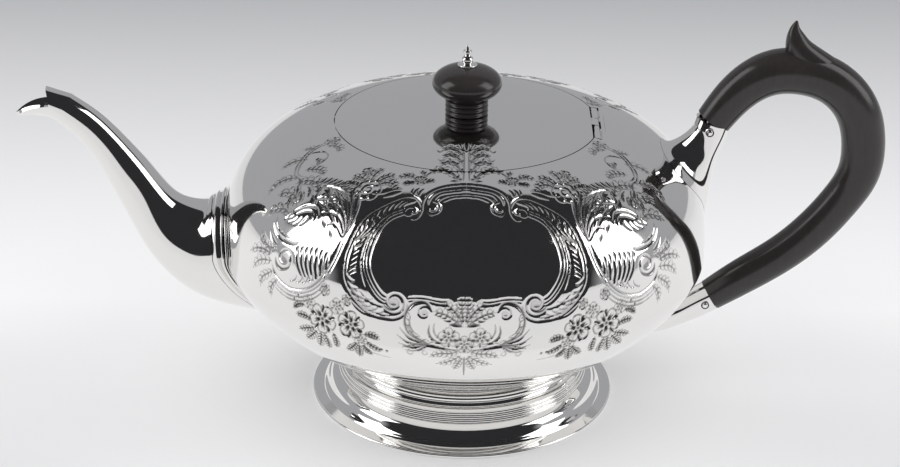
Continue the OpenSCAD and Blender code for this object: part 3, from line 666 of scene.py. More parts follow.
# %% Acanthus inside the big scroll
for k in range(5):
    v = 19.5 + 1.9 * k
    shade([(-37.2 + 0.25 * k, v), (-35.4 + 0.2 * k, v + 1.7), (-33.8, v + 1.9)], 0.8, 0.75)
    cut([(-37.8 + 0.2 * k, v + 0.7), (-35.8 + 0.2 * k, v + 2.6), (-33.4, v + 2.9)], 0.5)
plume((-38.6, 29.5), [(-36.8, 38.6), (-34.2, 41.2), (-31.4, 43.0), (-28.4, 45.0)], -0.16, 0.65)
plume((-38.2, 27.5), [(-35.3, 35.8), (-33.4, 37.4), (-31.8, 39.4), (-29.3, 41.5)], -0.18, 0.55)
for k in range(6):
    a = (-35.5 + 1.9 * k, 38.2 + 1.25 * k)
    shade([a, (a[0] + 1.5, a[1] - 0.9), (a[0] + 2.2, a[1] - 2.1)], 0.75, 0.8)
plume((-27.8, 46.6), [(-22.5, 45.6), (-21.6, 46.8)], 0.1, 0.5)
rows_of([(-33.8, 14.6), (-30.2, 11.8), (-26.0, 11.2)], (0, -1.2, -2.5), width=0.55)
leaf([(-37.0, 18.0), (-35.2, 15.5), (-31.5, 13.8), (-28.2, 14.2)], 2.6, 4, (-1,))

# %% Arch over the oval
arches = ([(-17, 44.5), (-17.8, 48), (-16, 51.5), (-11, 54.3), (-5, 55.6), (0, 56), (2, 55.9)],
          [(-15.2, 46), (-15.5, 49), (-13, 51.8), (-8, 53.3), (0, 54.3), (2, 54.2)],
          [(-13.5, 47.6), (-12.2, 50.3), (-8, 52.1), (0, 53.3), (2, 53.2)],
          [(-12.5, 46.5), (-11, 49), (-7, 50.8), (0, 51.6), (2, 51.6)],
          [(-9.6, 47.8), (-6, 49.7), (0, 50.4), (2, 50.4)])
for line, width in zip(arches, (0.6, 0.75, 0.45, 0.65, 0.5)):
    cut(line, width, taper=(0.15, 0.02))
cut([(-12, 50.6), (-6, 52.2), (0, 52.6), (2, 52.6)], 1.3, hollow=True, depth=0.15, dark=0.1)
curl((-13.3, 44.9), 2.9, 100, 1.1, -1, 0.6, ball=False)
for u, v, wide in ((-13.2, 44.8, 3.2), (-10.9, 46.0, 2.0), (-20.0, 43.2, 2.4)):
    cut([(u - 0.4, v - 0.1), (u + 0.4, v + 0.1)], wide / BOLD, hollow=True, depth=0.42, dark=0.0,
        taper=(0.01, 0.01))
shade([(-15.2, 43.4), (-13.4, 42.6), (-11.2, 43.2)], 0.8)
cut([(-8.5, 57.1), (-4.5, 57.6), (-1.8, 58.8)], 0.5)
for u in (-20.5, -22.8):
    plume((u, 49.2), [(u - 1.2, 52.2), (u + 1.4, 52.6)], 0.15, 0.45)

# %% Fan of plumes
fan_root = (-42.3, 30)
fan = ([(-43, 35), (-45.5, 40), (-49.5, 43.5), (-54, 45.2), (-60, 45.8), (-66, 44), (-71, 41.5)],
       [(-43.5, 35), (-46.5, 39.5), (-51, 42.5), (-56, 44), (-61, 43.8), (-65.5, 42.2)],
       [(-44, 34.5), (-47.5, 38), (-52, 39.8), (-56, 39.5), (-57.5, 38)],
       [(-44.5, 33.5), (-48.5, 36.3), (-53, 36.5), (-55, 35.4)],
       [(-45, 32), (-48, 33.5), (-51.5, 32.3)])
for line, width in zip(fan, (0.75, 0.6, 0.7, 0.65, 0.6)):
    cut([fan_root] + line, width, taper=(0.1, 0.4))
for shift in (1.5, 3.0):
    for line in (fan[0][:6], fan[1][:5], fan[2][:4]):
        cut([fan_root] + [(u + 0.25 * shift, v - shift * 0.62) for u, v in line], 0.42, dark=0.8,
            taper=(0.2, 0.6))
for root, bend, tip in (((-43.0, 31.5), (-45.0, 40.0), (-50.5, 46.6)),
                        ((-43.2, 31.0), (-47.0, 40.2), (-55.5, 47.4)),
                        ((-43.6, 30.6), (-49.0, 39.4), (-60.5, 46.6)),
                        ((-44.0, 30.4), (-50.5, 38.0), (-62.0, 43.0)),
                        ((-44.4, 30.0), (-51.5, 36.0), (-60.0, 38.6)),
                        ((-42.8, 32.0), (-43.2, 40.0), (-46.2, 46.0))):
    cut([root, bend, tip], 1.15, hollow=True, depth=0.2, dark=0.0, taper=(0.75, 0.2))
    cut([(u + 0.7, v - 0.5) for u, v in (root, bend, tip)], 0.5, dark=0.9, taper=(0.5, 0.2))
    shade([(tip[0] - 0.6, tip[1] + 0.5), (tip[0] - 1.9, tip[1] - 0.7),
           (tip[0] - 1.5, tip[1] - 2.3)], 0.7, 0.9)
lobes([(-44.5, 40.0), (-49.5, 44.8), (-56.0, 46.9), (-63.0, 46.4), (-69.5, 43.8)], 12, 2.6, 2.6,
      1.2)
lobes([(-47.0, 37.8), (-51.5, 40.6), (-57.0, 41.4), (-61.5, 40.0)], 7, 2.3, 2.2, 1.0)
lobes([(-59.5, 31.5), (-64.0, 30.2), (-68.0, 30.6)], 4, 2.4, 2.0, 1.0)
cut([fan_root, (-42.6, 36), (-44.2, 40.5), (-47.2, 44.2), (-51.5, 46.4)], 0.55)
cut([(-42.0, 31), (-41.6, 36), (-42.4, 41), (-44.2, 44.6)], 0.6)
rows_of([(-47, 41.6), (-52, 44.2), (-58, 45.0), (-64, 43.6)], (0,), width=1.3, hollow=True,
        dark=0.1)
cut([(-66.5, 32.5), (-63, 35.5), (-58.5, 36.2), (-55, 33.5)], 0.75)
cut([(-65.2, 31.5), (-62, 34.0), (-58.8, 34.4), (-56.4, 32.4)], 0.5)
for a, b, c in (((-66, 42.6), (-63.6, 41.8), (-61.8, 39.6)),
                ((-61.2, 44.0), (-58.8, 43.0), (-57.4, 40.6)),
                ((-58.2, 39.6), (-56.8, 38.4), (-56.0, 36.6)),
                ((-69.4, 41.2), (-66.8, 40.4), (-65.0, 38.2)),
                ((-70.6, 38.8), (-68.4, 37.6), (-67.0, 35.4)),
                ((-74.4, 39.8), (-72.2, 38.6), (-71.0, 36.2)),
                ((-77.6, 42.0), (-75.2, 41.4), (-73.4, 39.4)),
                ((-64.0, 39.4), (-62.0, 38.2), (-60.8, 36.6)),
                ((-50.6, 41.0), (-49.0, 39.4), (-48.2, 37.2)),
                ((-54.2, 41.8), (-52.4, 40.6), (-51.4, 38.6)),
                ((-73.4, 36.0), (-71.6, 34.6), (-70.8, 32.6)),
                ((-48.8, 31.4), (-47.4, 30.2), (-46.8, 28.6)),
                ((-53.4, 33.6), (-51.8, 32.6), (-50.9, 31.0))):
    shade([a, b, c], 1.0, 0.85)
    cut([(a[0] + 0.9, a[1] + 0.7), (b[0] + 1.0, b[1] + 0.6), (c[0] + 1.1, c[1] + 0.3)], 0.4)
leaf([(-62, 40.5), (-67, 43.6), (-72, 43.0), (-76, 40.0)], 4.4, 6)
leaf([(-67, 34), (-71, 36.5), (-76, 36.2), (-79, 33.5)], 4.0, 5)
leaf([(-66, 30), (-71, 31.5), (-75.5, 30.0), (-78, 27.0)], 3.4, 5)

# %% Shell and scroll under the fan
low_c = [(-42.5, 29), (-43.5, 23), (-46, 17.5), (-50, 13), (-55, 10.6), (-60, 10.2), (-65, 12),
         (-67.4, 14.8)]
cut(low_c, 0.75, taper=(0.15, 0.1))
rows_of(low_c[:7], (1.1,), width=0.45, taper=(0.3, 0.2))
rows_of(low_c[2:7], (2.4, 3.6), width=0.5, dark=0.75, taper=(0.3, 0.4))
lobes([(-46.0, 20.5), (-49.5, 16.6), (-54.0, 14.2), (-58.5, 13.6)], 6, 2.4, 1.8, 0.95)
curl((-62.3, 18.3), 3.5, 250, 1.3, 1, 0.65)
shade([(-66.2, 17.2), (-65.2, 15.4), (-62.5, 14.7), (-59.4, 16.4)], 1.1)
for k in range(7):
    u = -45.4 - 1.95 * k
    top = 24.6 - 0.35 * abs(k - 2)
    cut([(-45.2 - 1.1 * k, 15.4 - 0.35 * k), (u + 0.3, 19.5), (u, top)], 0.6)
    shade([(u - 0.5, top - 2.6), (u - 0.9, top - 0.6), (u - 0.3, top + 0.7)], 0.7, 0.75)
cut([(-72.8, 26.9), (-69, 24.2), (-64.5, 23.2), (-60, 23.4), (-57.5, 24.5)], 0.8)
cut([(-72.2, 28.4), (-69.2, 25.8), (-64.8, 24.7), (-60.6, 24.9)], 0.45)
shade([(-72.4, 24.0), (-69.4, 21.6), (-66.8, 21.0)], 1.2)
leaf([(-66.5, 20.5), (-70, 19.2), (-73.5, 20.0), (-76.5, 22.6)], 3.2, 5)
leaf([(-67.5, 15.5), (-71.5, 14.6), (-75, 12.8), (-77.5, 9.4)], 3.4, 5)
leaf([(-66.5, 12.8), (-69.5, 10.6), (-72.2, 8.2), (-72.6, 5.2)], 3.0, 5)
leaf([(-64, 10.6), (-66.4, 8.4), (-67.2, 6.2), (-66.6, 3.8)], 2.4, 4)
leaf([(-68, 17.5), (-72.5, 17.6), (-77, 16.4), (-80.5, 14.0)], 3.0, 5)

# %% Roses and leaves on the shoulder
rose((-43.5, 48), 3.9)
leaf([(-46.5, 50), (-49, 51.6), (-52.5, 51.8), (-55, 50.6)], 3.4, 5)
leaf([(-41, 50.5), (-38, 52.6), (-34.5, 52.6), (-31, 51)], 3.6, 5)
leaf([(-45, 51.5), (-46.2, 54), (-46, 56.6), (-44.2, 58.6)], 3.0, 4)
leaf([(-42, 51.5), (-40.6, 54), (-38.4, 55.8), (-35.6, 56.4)], 3.0, 4)
leaf([(-47, 47.8), (-50, 48.6), (-53.2, 48.2), (-56.4, 46.6)], 2.6, 5)
shade([(-34.8, 46.6), (-32, 48.6), (-28.8, 50.0)], 1.5)
leaf([(-38.6, 47.2), (-35.6, 48.6), (-32.2, 50.4), (-28.8, 51.0)], 2.4, 4, (1,))
flower((-22.5, 56.2), 2.1)
leaf([(-20.2, 55.4), (-18, 56.4), (-15.2, 57.0)], 1.8, 3)
leaf([(-24.8, 56.4), (-28, 57.6), (-31.6, 57.2), (-34.4, 55.4)], 2.6, 5)
leaf([(-24.5, 54.8), (-27.5, 54.2), (-30.5, 53.2)], 1.8, 3)
leaf([(-21.5, 58.2), (-22.6, 60.0), (-25.6, 60.6)], 1.8, 3)
flower((-50.5, 55.0), 2.0, 5, 20)

# %% Rising leaf scroll at the end of the fan
rows_of([(-74, 44), (-80, 43), (-84.6, 46), (-88.4, 50), (-90.6, 54.4), (-89.4, 59)], (0, 1.1),
        width=0.6)
cut([(-90, 48), (-86.2, 53.2), (-81.4, 54.6), (-77.6, 52.4), (-77.4, 49.2), (-80.2, 48.0)], 0.6)
leaf([(-82, 50.5), (-79.2, 50.8), (-77, 49.4)], 2.0, 4)
leaf([(-79, 45.4), (-75.4, 47.6), (-71.6, 48.4), (-68.2, 47.2)], 3.2, 6)
leaf([(-85, 48.8), (-88.6, 46.6), (-90.4, 43.2), (-90.0, 40.4)], 3.2, 5)
leaf([(-89.8, 53.0), (-93.2, 52.2), (-95.4, 49.8)], 2.6, 4)
leaf([(-88.6, 56.4), (-85.4, 58.6), (-81.4, 59.0), (-77.6, 57.2)], 2.8, 5)
flower((-91.5, 59.2), 2.6, 5, 36)
leaf([(-77.5, 42.4), (-82, 39.6), (-84.4, 35.8), (-83.6, 32.0)], 3.2, 6)

# %% Flower sprays
flower((-45, 3.9), 4.8, 5, 55, 0.8, 1.0)
flower((-35, 4.6), 4.4, 5, 85, 0.8, 1.0)
flower((-50.2, 8.0), 2.4, 5, 10)
flower((-39.8, 9.3), 2.6, 5, 30)
flower((-31.6, 0.2), 2.2, 5, 60)
flower((-36.6, 12.2), 1.7, 5, 0)
flower((-44.4, 13.6), 1.8, 5, 45)
for path, width in (([(-48, 0), (-51, -1.2), (-55, -3)], 1.9),
                    ([(-47, -0.6), (-50, -3.8), (-53.4, -7)], 2.2),
                    ([(-45.6, -0.8), (-46.8, -4.8), (-49, -9)], 2.2),
                    ([(-44.4, -1), (-44, -4.6), (-44.8, -8)], 1.9),
                    ([(-49.2, 2.4), (-52.4, 3.0), (-55.4, 2.4)], 1.7),
                    ([(-52, 6.4), (-54.6, 5.8), (-56.6, 4.0)], 1.5),
                    ([(-33, -1.2), (-34.8, -3.4), (-37.2, -6)], 2.0),
                    ([(-32.4, -1.8), (-32.8, -4.8), (-33.6, -8)], 2.0),
                    ([(-31, -1.6), (-30.2, -3.4), (-28.4, -5.4)], 1.8),
                    ([(-29.8, 0), (-27.6, -1.6), (-24.8, -2.5)], 1.8),
                    ([(-30.6, 2.2), (-28, 2.6), (-25.6, 1.6)], 1.7),
                    ([(-41, 0.4), (-40.4, -3), (-41.4, -6)], 1.8)):
    leaf(path, width * 1.15, 5, (-1, 1), 0.62, 1.0)
cut([(-29.8, -3.4), (-26.6, -4.6), (-22.6, -5)], 0.45)
for u, v in ((-27, -2.0), (-25.2, -1.9), (-23.6, -2.1), (-55.5, 5.0), (-56.4, 7.4), (-54.8, 9.0)):
    cut([(u, v), (u + 0.3, v - 0.4)], 0.9, dark=0.9)

# %% Cartouche under the oval
curl((-12, 12), 2.4, 20, 1.15, 1, 0.6)
cut([(-9.8, 12.5), (-11.5, 15), (-15, 14.8), (-17.5, 11.5), (-17.8, 8), (-16.5, 5), (-13, 2.8)],
    0.8, dark=0.8, taper=(0.1, 0.4))
rows_of([(-17.2, 11), (-17.5, 8), (-16.2, 5.2), (-13, 3.2)], (1.1,), width=0.5, dark=0.8)
lobes([(-17.0, 11.5), (-17.0, 8.0), (-15.4, 5.0), (-12.0, 3.0), (-8.0, 1.8)], 7, 2.0, 1.8, 0.9)
plume((-10.5, 2.2), [(-19.5, 6.8), (-20.2, 4.2), (-19.6, 1.6), (-17.4, 8.2), (-17.6, -0.6)], 0.14,
      0.7)
cut([(-18.6, 0.3), (-12, 1.8), (-5, 0.8), (-1, 0.6)], 0.75, dark=0.8)
cut([(-10.3, 8.5), (-10.5, 5.5), (-8.5, 3.2), (-5, 2.5)], 0.8, dark=0.8)
cut([(-9.0, 8.9), (-9.0, 6.2), (-7.4, 4.2), (-4.8, 3.5)], 0.5, dark=0.7)
curl((-16, -1.3), 1.2, 90, 1.1, 1, 0.5, False)
curl((-11.5, -1.0), 1.1, 90, 1.1, 1, 0.5, False)
rows_of([(-17, 15.2), (-12, 15.6), (-7, 15.0), (-3.6, 15.6)], (0, 0.9), width=0.5, taper=(0.1, 0.2))
flower((-4.6, 4.6), 3.2, 5, 20, 0.5)
flower((0, 2.4), 2.8, 5, 90, 0.5)
leaf([(-0.4, 8.2), (-3.2, 10.4), (-6.6, 12.2), (-9.6, 12.6)], 3.4, 6)
leaf([(-0.4, 9.2), (-2.2, 12.0), (-4.2, 14.2), (-7.0, 15.8)], 3.0, 5)
leaf([(-0.2, 9.5), (-0.8, 13), (-0.7, 18.2)], 3.4, 6)
shade([(-0.8, 8.2), (-2.6, 8.8), (-4.6, 8.6)], 1.0)
leaf([(-1.6, 0.4), (-4.4, -0.8), (-7.6, -1.0), (-10.4, -2.6)], 2.8, 6)
leaf([(-0.9, -1.2), (-3.2, -3.4), (-5.8, -5.0), (-8.4, -5.6)], 2.6, 5)
leaf([(-0.5, -2.2), (-1.9, -5.4), (-3.2, -8.8)], 2.2, 5)
leaf([(0, -2.0), (0, -7), (0, -12.6)], 2.4, 6, (1,))
shade([(-0.5, 4.4), (-2.6, 3.6), (-4.4, 4.2)], 0.9)

# %% Palmette on the shoulder and the lid


def palm(points):
    """Points given in real millimetres from the middle line, as plate points."""
    return [(t / float(across(v)), v) for t, v in points]


cut(palm([(-0.9, 57.5), (-0.7, 66), (-0.6, 75)]), 0.6, dark=0.6, taper=(0.1, 0.3))
for line in ([(-0.4, 74.8), (-0.9, 77.4), (-0.5, 80.2)], [(-0.5, 74.8), (-2.1, 76.8), (-2.7, 79.2)],
             [(-0.2, 74.6), (-1.4, 77.2), (-1.5, 79.8)]):
    cut(palm(line), 0.55)
for line, width in (([(-0.8, 71.5), (-2.6, 75.6), (-5.2, 76.6), (-7.8, 74.0)], 2.6),
                    ([(-1.0, 66.5), (-2.8, 71.6), (-5.6, 72.2), (-7.4, 68.6)], 3.0),
                    ([(-1.3, 61.0), (-3.0, 66.6), (-6.0, 67.6), (-8.4, 63.4)], 3.4),
                    ([(-1.6, 57.4), (-5.0, 62.0), (-9.0, 62.4), (-12.4, 58.6)], 3.4)):
    leaf(palm(line), width, 4, (-1, 1), 0.85, 0.6)
    shade(palm([(line[3][0] + 0.8, line[3][1] + 0.4), (line[3][0] - 0.3, line[3][1] - 0.7),
                (line[3][0] - 1.4, line[3][1] + 0.1)]), 0.55)
curl(palm([(-2.4, 57.6)])[0], 1.1, 0, 1.1, 1, 0.45, False)
print("deepest cut %.2f mm, cut share %.3f" % (cut_depth.max(), (cut_depth > 0.01).mean()))


# %% Reading the plate
def engraving(u, v):
    """Height of the engraved surface and darkness of the cut, round and along the body."""
    u, v = np.broadcast_arrays(-np.abs(u), v)
    x = np.clip((u - U_LOW) / FINE, 0, cut_depth.shape[1] - 1.001)
    y = np.clip((v - V_LOW) / FINE, 0, cut_depth.shape[0] - 1.001)
    i, j = y.astype(int), x.astype(int)
    fy, fx = y - i, x - j
    out = []
    for plate in (cut_depth, tarnish):
        low_row = plate[i, j] * (1 - fx) + plate[i, j + 1] * fx
        high_row = plate[i + 1, j] * (1 - fx) + plate[i + 1, j + 1] * fx
        out.append(low_row * (1 - fy) + high_row * fy)
    # The ornament dies away at the edges of the panel
    fade = np.clip((PANEL_HALF - 0.5 + u) / 2, 0, 1) * np.clip(v - PANEL_LOW - 0.3, 0, 1)
    return -out[0] * fade, out[1] * fade


# %% [markdown]
# ## The body
#
# The body is raised from one disc of silver and then engraved over the front and the back.
# Four fine panels carry the engraving and plain, coarser pieces close the rest: one under
# each end, where the spout and the handle sit, and the bowl below. The panels share their
# edge points with the plain pieces, and the points on those edges take their shading from
# the plain curve, so no seam shows in the reflections. Each piece turns over the rim of the
# mouth and runs down inside, so the open pot shows a real wall.

# %% Where the panels lie
CELL, INNER_ROWS, END_COLS = 0.3, 28, 61
mouth_v = float(length_at_radius(MOUTH_R))
panel_edge = PANEL_HALF / WAIST_R
body_profile = profile_curve("body_outline", meridian)
panel_cols = int(round(PANEL_HALF / CELL))
panel_rows = int(round((mouth_v - PANEL_LOW) / CELL))
outer_v = np.linspace(PANEL_LOW, mouth_v, panel_rows + 1)
inner_v = np.linspace(mouth_v, PANEL_LOW, INNER_ROWS)
print("panel grid", panel_cols, "by", panel_rows)

# %% Engraved panels
body_pieces = []
for side_name, middle in (("front", 0.0), ("back", math.pi)):
    for half_name, start, stop in (("left", -panel_edge, 0.0), ("right", 0.0, panel_edge)):
        angles = np.linspace(start, stop, panel_cols + 1)
        height, dark = engraving(angles[None, :] * WAIST_R, outer_v[:, None])
        zero = np.zeros((len(inner_v), len(angles)))
        rows = (np.concatenate([np.repeat(outer_v[:, None], len(angles), 1),
                                np.repeat(inner_v[:, None], len(angles), 1)]),
                np.concatenate([height, zero - WALL]))
        panel = wrap("body_%s_%s" % (side_name, half_name), angles + middle, rows, body_profile,
                     waist_length, engraved_silver, np.concatenate([dark, zero]))
        finish_normals(panel, 50, body_normals)
        body_pieces.append(panel)
print("engraved panels:", [len(p.data.polygons) for p in body_pieces])

# %% Plain ends of the body
# The hinge sits in a straight recess, with a deeper one for its plate in the middle
RECESS_HALF, RECESS_X = 13.05, 42.75
PLATE_HALF, PLATE_X = 7.05, 43.95
# Rows above this height give way to the recess
BEND_FROM = 45
for end_name, middle in (("handle", math.pi / 2), ("spout", -math.pi / 2)):
    half = math.pi / 2 - panel_edge
    off = np.linspace(-half, half, END_COLS)
    limit = np.full(len(off), MOUTH_R)
    if end_name == "handle":
        # Two columns of points stand at each step of the recess, to keep it straight-sided
        steps = [math.asin(RECESS_HALF / MOUTH_R), math.atan2(PLATE_HALF, PLATE_X)]
        extra = [s * k for s in steps for k in (-1.0, -1.0004, 1.0, 1.0004)]
        off = np.sort(np.concatenate([off, extra]))
        deep = np.where(np.abs(off) <= steps[1] * 1.0001, PLATE_X, RECESS_X) / np.cos(off)
        limit = np.where(np.abs(off) <= steps[0] * 1.0001, np.maximum(MOUTH_R, deep), MOUTH_R)
    top = length_at_radius(limit)
    outer, inner = [v[:, None] + np.clip((v - BEND_FROM) / (mouth_v - BEND_FROM), 0, 1)[:, None]
                    * (top[None, :] - mouth_v) for v in (outer_v, inner_v)]
    rows = (np.concatenate([outer, inner]),
            np.concatenate([np.zeros_like(outer), np.zeros_like(inner) - WALL]))
    piece = wrap("body_%s_end" % end_name, off + middle, rows, body_profile, waist_length,
                 polished_silver)
    finish_normals(piece, 50, body_normals)
    body_pieces.append(piece)

# %% Bowl
angles = np.concatenate([np.linspace(-panel_edge, panel_edge, 2 * panel_cols + 1)[:-1],
                         np.linspace(panel_edge, math.pi - panel_edge, END_COLS)[:-1]])
angles = np.concatenate([angles, angles + math.pi, [2 * math.pi - panel_edge]])
floor_v = lengths[1] - waist_length
down = np.concatenate([np.linspace(-waist_length, floor_v, 4)[:-1],
                       np.linspace(floor_v, PANEL_LOW, 36)])
outside = np.repeat(down[:, None], len(angles), 1)
# The first row stands a hair off the middle, so that the faces there keep some area
outside[0] += 1e-4
bowl = wrap("body_bowl", angles, (outside, 0 * outside), body_profile, waist_length,
            polished_silver)
finish_normals(bowl, 50, body_normals)
inside_angles = angles[::4]
inside = np.repeat(down[::-1, None], len(inside_angles), 1)
bowl_in = wrap("body_bowl_inside", inside_angles, (inside, 0 * inside - WALL), body_profile,
               waist_length, polished_silver)
finish_normals(bowl_in, 50)
body_pieces += [bowl, bowl_in]
for piece in body_pieces:
    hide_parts("body_shoulder", "body_bowl")
    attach(piece, "pot")
print("body pieces:", len(body_pieces))

# %% [markdown]
# ## The lid
#
# The lid continues the curve of the body with a hairline gap. At the handle side a straight
# cut makes room for the hinge, so the sheet stops at that line instead of at the rim.

# %% Lid sheet
# The sheet ends a hair before the middle of the crown
lid_top = float(lengths[-1] - waist_length) - 1e-3
LID_SHEET, HINGE_CUT = 1.2, 2.2
LID_BACK_X = LID_R - HINGE_CUT
# Columns stand closer under the palmettes, and two mark the ends of the straight cut
COARSE_TURN, FINE_TURN, PALMETTE_HALF = 0.018, 0.0072, 0.36
lid_angles = np.concatenate([np.arange(-math.pi, math.pi, COARSE_TURN)] + [
    np.arange(m - PALMETTE_HALF, m + PALMETTE_HALF, FINE_TURN) for m in (0.0, math.pi, -math.pi)])
lid_angles = lid_angles[np.abs(lid_angles) <= math.pi]
back = math.acos(LID_BACK_X / LID_R)
ends = [-math.pi, math.pi, math.pi / 2 - back, math.pi / 2 + back]
lid_angles = np.unique(np.concatenate([lid_angles, ends]))
to_handle = np.abs(np.angle(np.exp(1j * (lid_angles - math.pi / 2))))
lid_limit = np.where(to_handle < back, LID_BACK_X / np.cos(np.minimum(to_handle, 1.2)), LID_R)
rim_v = length_at_radius(lid_limit)
outer, inner = [rim_v[None, :] + share[:, None] * (lid_top - rim_v[None, :])
                for share in (np.linspace(0, 1, 110), np.linspace(1, 0, 16))]
from_front = np.minimum(np.abs(lid_angles), math.pi - np.abs(lid_angles))
height, dark = engraving(from_front[None, :] * WAIST_R, outer)
height[0] = 0
rows = (np.concatenate([inner, outer]), np.concatenate([np.zeros_like(inner) - LID_SHEET, height]))
lid = wrap("lid_dome", lid_angles, rows, body_profile, waist_length, engraved_silver,
           np.concatenate([0 * inner, dark]))
finish_normals(lid, 50)
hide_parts("lid_shell")
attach(lid, "lid")
bpy.data.objects.remove(body_profile)
print("lid faces", len(lid.data.polygons))

# %% [markdown]
# ## The foot
#
# A foot like this is spun from sheet over a wooden chuck: a sharp step, a deep hollow band,
# three fine reeds and a cove up to the neck. A round wire stiffens the edge that stands on
# the table, and a bead wire covers the joint with the bowl.

# %% Foot profile
FOOT_R, NECK_R, RIM_H, BEAD_R = 49.9, 37.2, 1.0, 1.1
COVE_Z = float(bowl_z(NECK_R)) - 3.5
rise = COVE_Z - RIM_H


def foot_z(share):
    """Height at this share of the way from the rim to the top of the cove."""
    return RIM_H + share * rise


def foot_turned(name, outline, sharp_degrees=35):
    return turned(name, outline, polished_silver, 256, sharp_degrees)


steps = [[FOOT_R - 0.3, RIM_H + 0.05], [FOOT_R - 0.35, RIM_H + 0.2]]
dome = smooth_through([[FOOT_R - 3.7, foot_z(0.065)], [FOOT_R - 4.1, foot_z(0.11)],
                       [FOOT_R - 5.3, foot_z(0.21)], [FOOT_R - 6.4, foot_z(0.38)],
                       [FOOT_R - 8.9, foot_z(0.525)]], 40).tolist()
reeds = []
for k in range(3):
    centre = [FOOT_R - 9.3 - 0.5 * k, foot_z(0.573 + 0.089 * k)]
    reeds += arc(centre, 0.6, -70, 80, 14)
end = [FOOT_R - 9.3 - 1.5, foot_z(0.573 + 0.267)]
cove = [[end[0] - (end[0] - NECK_R) * math.sin(a), COVE_Z - (COVE_Z - end[1]) * math.cos(a)]
        for a in np.linspace(0, math.pi / 2, 14)]
neck = [[NECK_R, float(bowl_z(NECK_R)) - 0.05], [NECK_R - 1, float(bowl_z(NECK_R - 1)) - 0.05]]
inside = [[NECK_R - 1, COVE_Z], [end[0] - 1.4, end[1] - 1], [FOOT_R - 10.7, foot_z(0.573) - 1],
          [FOOT_R - 8, foot_z(0.38) - 1], [FOOT_R - 5.5, RIM_H + 0.05],
          [FOOT_R - 0.3, RIM_H + 0.05]]
foot = foot_turned("foot_stepped", steps + dome + reeds + cove + neck + inside)
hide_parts("foot_shell")
rim_in, rim_out = FOOT_R - 3.2, FOOT_R - 0.5
rim_wire = foot_turned("foot_rim", [[rim_in, RIM_H], [rim_in, 0], [rim_out, 0]]
                       + arc([rim_out, RIM_H / 2], RIM_H / 2, -90, 90, 16) + [[rim_in, RIM_H]])
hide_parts("foot_rim_wire")
bead_at = [NECK_R + BEAD_R + 0.05, COVE_Z + BEAD_R + 0.4]
bead_wire = foot_turned("foot_bead", arc(bead_at, BEAD_R, -180, 180, 33), 60)
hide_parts("foot_bead_wire")
for piece in (foot, rim_wire, bead_wire):
    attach(piece, "pot")

# %% [markdown]
# ## The finial
#
# The knob is turned from the same wood as the handle: a flattened ball on a short neck with
# three reeds. A small silver cap is screwed on top of it, with a bud, a flange and a spike.

# %% Knob and cap
KNOB_R, KNOB_HALF, KNOB_Z, KNOB_NECK = 11.1, 5.85, CROWN_Z + 10.2, 6.0
REED_R, CAP_R, CAP_H = 0.85, 3.1, 7.2
base = CROWN_Z + 0.05
outline = [[1e-3, base], [KNOB_NECK, base]]
for k in range(3):
    outline += arc([KNOB_NECK, base + REED_R * (1 + 1.9 * k)], REED_R, -75, 75, 12)
join = math.asin(KNOB_NECK / KNOB_R)
knob_curve = [[KNOB_R * math.sin(a), KNOB_Z + KNOB_HALF * math.cos(a)]
              for a in np.linspace(math.pi - join, 0.0, 60)]
outline += [[KNOB_NECK, knob_curve[0][1] - 0.4]] + knob_curve[:-1] + [[1e-3, KNOB_Z + KNOB_HALF]]
knob = turned("finial_ball", outline, ebonised_wood, 160)
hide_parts("finial_knob")
cap_base = KNOB_Z + KNOB_HALF * math.sqrt(1 - (CAP_R / KNOB_R) ** 2) + 0.05
# From the bottom: rim, hollow, bud, flange and spike
cap_rim = [[1e-3, 0], [CAP_R - 0.15, 0]] + arc([CAP_R - 0.32, 0.32], 0.32, -90, 90, 12)
hollow = smooth_through([[CAP_R - 0.4, 0.66], [2.3, 0.8], [1.75, 1.1]], 8)
bud = smooth_through([[1.7, 1.15], [1.95, 1.75], [1.95, 2.35], [1.5, 2.95], [0.95, 3.45],
                      [0.75, 4.1]], 26)
flange = arc([1.15, 4.72], 0.34, -90, 90, 12)
spike = smooth_through([[0.75, 5.1], [0.6, 5.6], [0.45, 6.3], [0.16, CAP_H - 0.16]], 10)
cap_outline = cap_rim + hollow.tolist() + bud.tolist() + flange + spike.tolist() + [[1e-3, CAP_H]]
cap = turned("finial_spike", [[r, z + cap_base] for r, z in cap_outline], polished_silver, 64)
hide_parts("finial_cap")
for piece in (knob, cap):
    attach(piece, "lid")

# %% [markdown]
# ## The spout
#
# The spout is a tube that changes from a tall egg on the body to a small round neck and an
# open beak. It is made as a row of rings. A smooth curve runs through the same point of all
# rings, so the reflections flow along it without a kink, and the rings run back down the
# inside at the thickness of the sheet.

# %% Rings of a tube
AROUND = 112
ring_angles = np.linspace(0, 2 * math.pi, AROUND, endpoint=False)


def ring(at, lean, radius, side_share=1.0):
    """A ring at [x, z], square to the direction lean = (x, z)."""
    c, s = np.cos(ring_angles), np.sin(ring_angles)
    x, z = at[0] + radius * c * lean[1], at[1] - radius * c * lean[0]
    return np.stack([x, radius * side_share * s, z], -1)


def leans(path):
    """Unit direction of a path of [x, z, ...] at each of its points."""
    p = np.asarray(path)[:, :2]
    d = np.concatenate([[p[1] - p[0]], p[2:] - p[:-2], [p[-1] - p[-2]]])
    return d / np.linalg.norm(d, axis=1, keepdims=True)


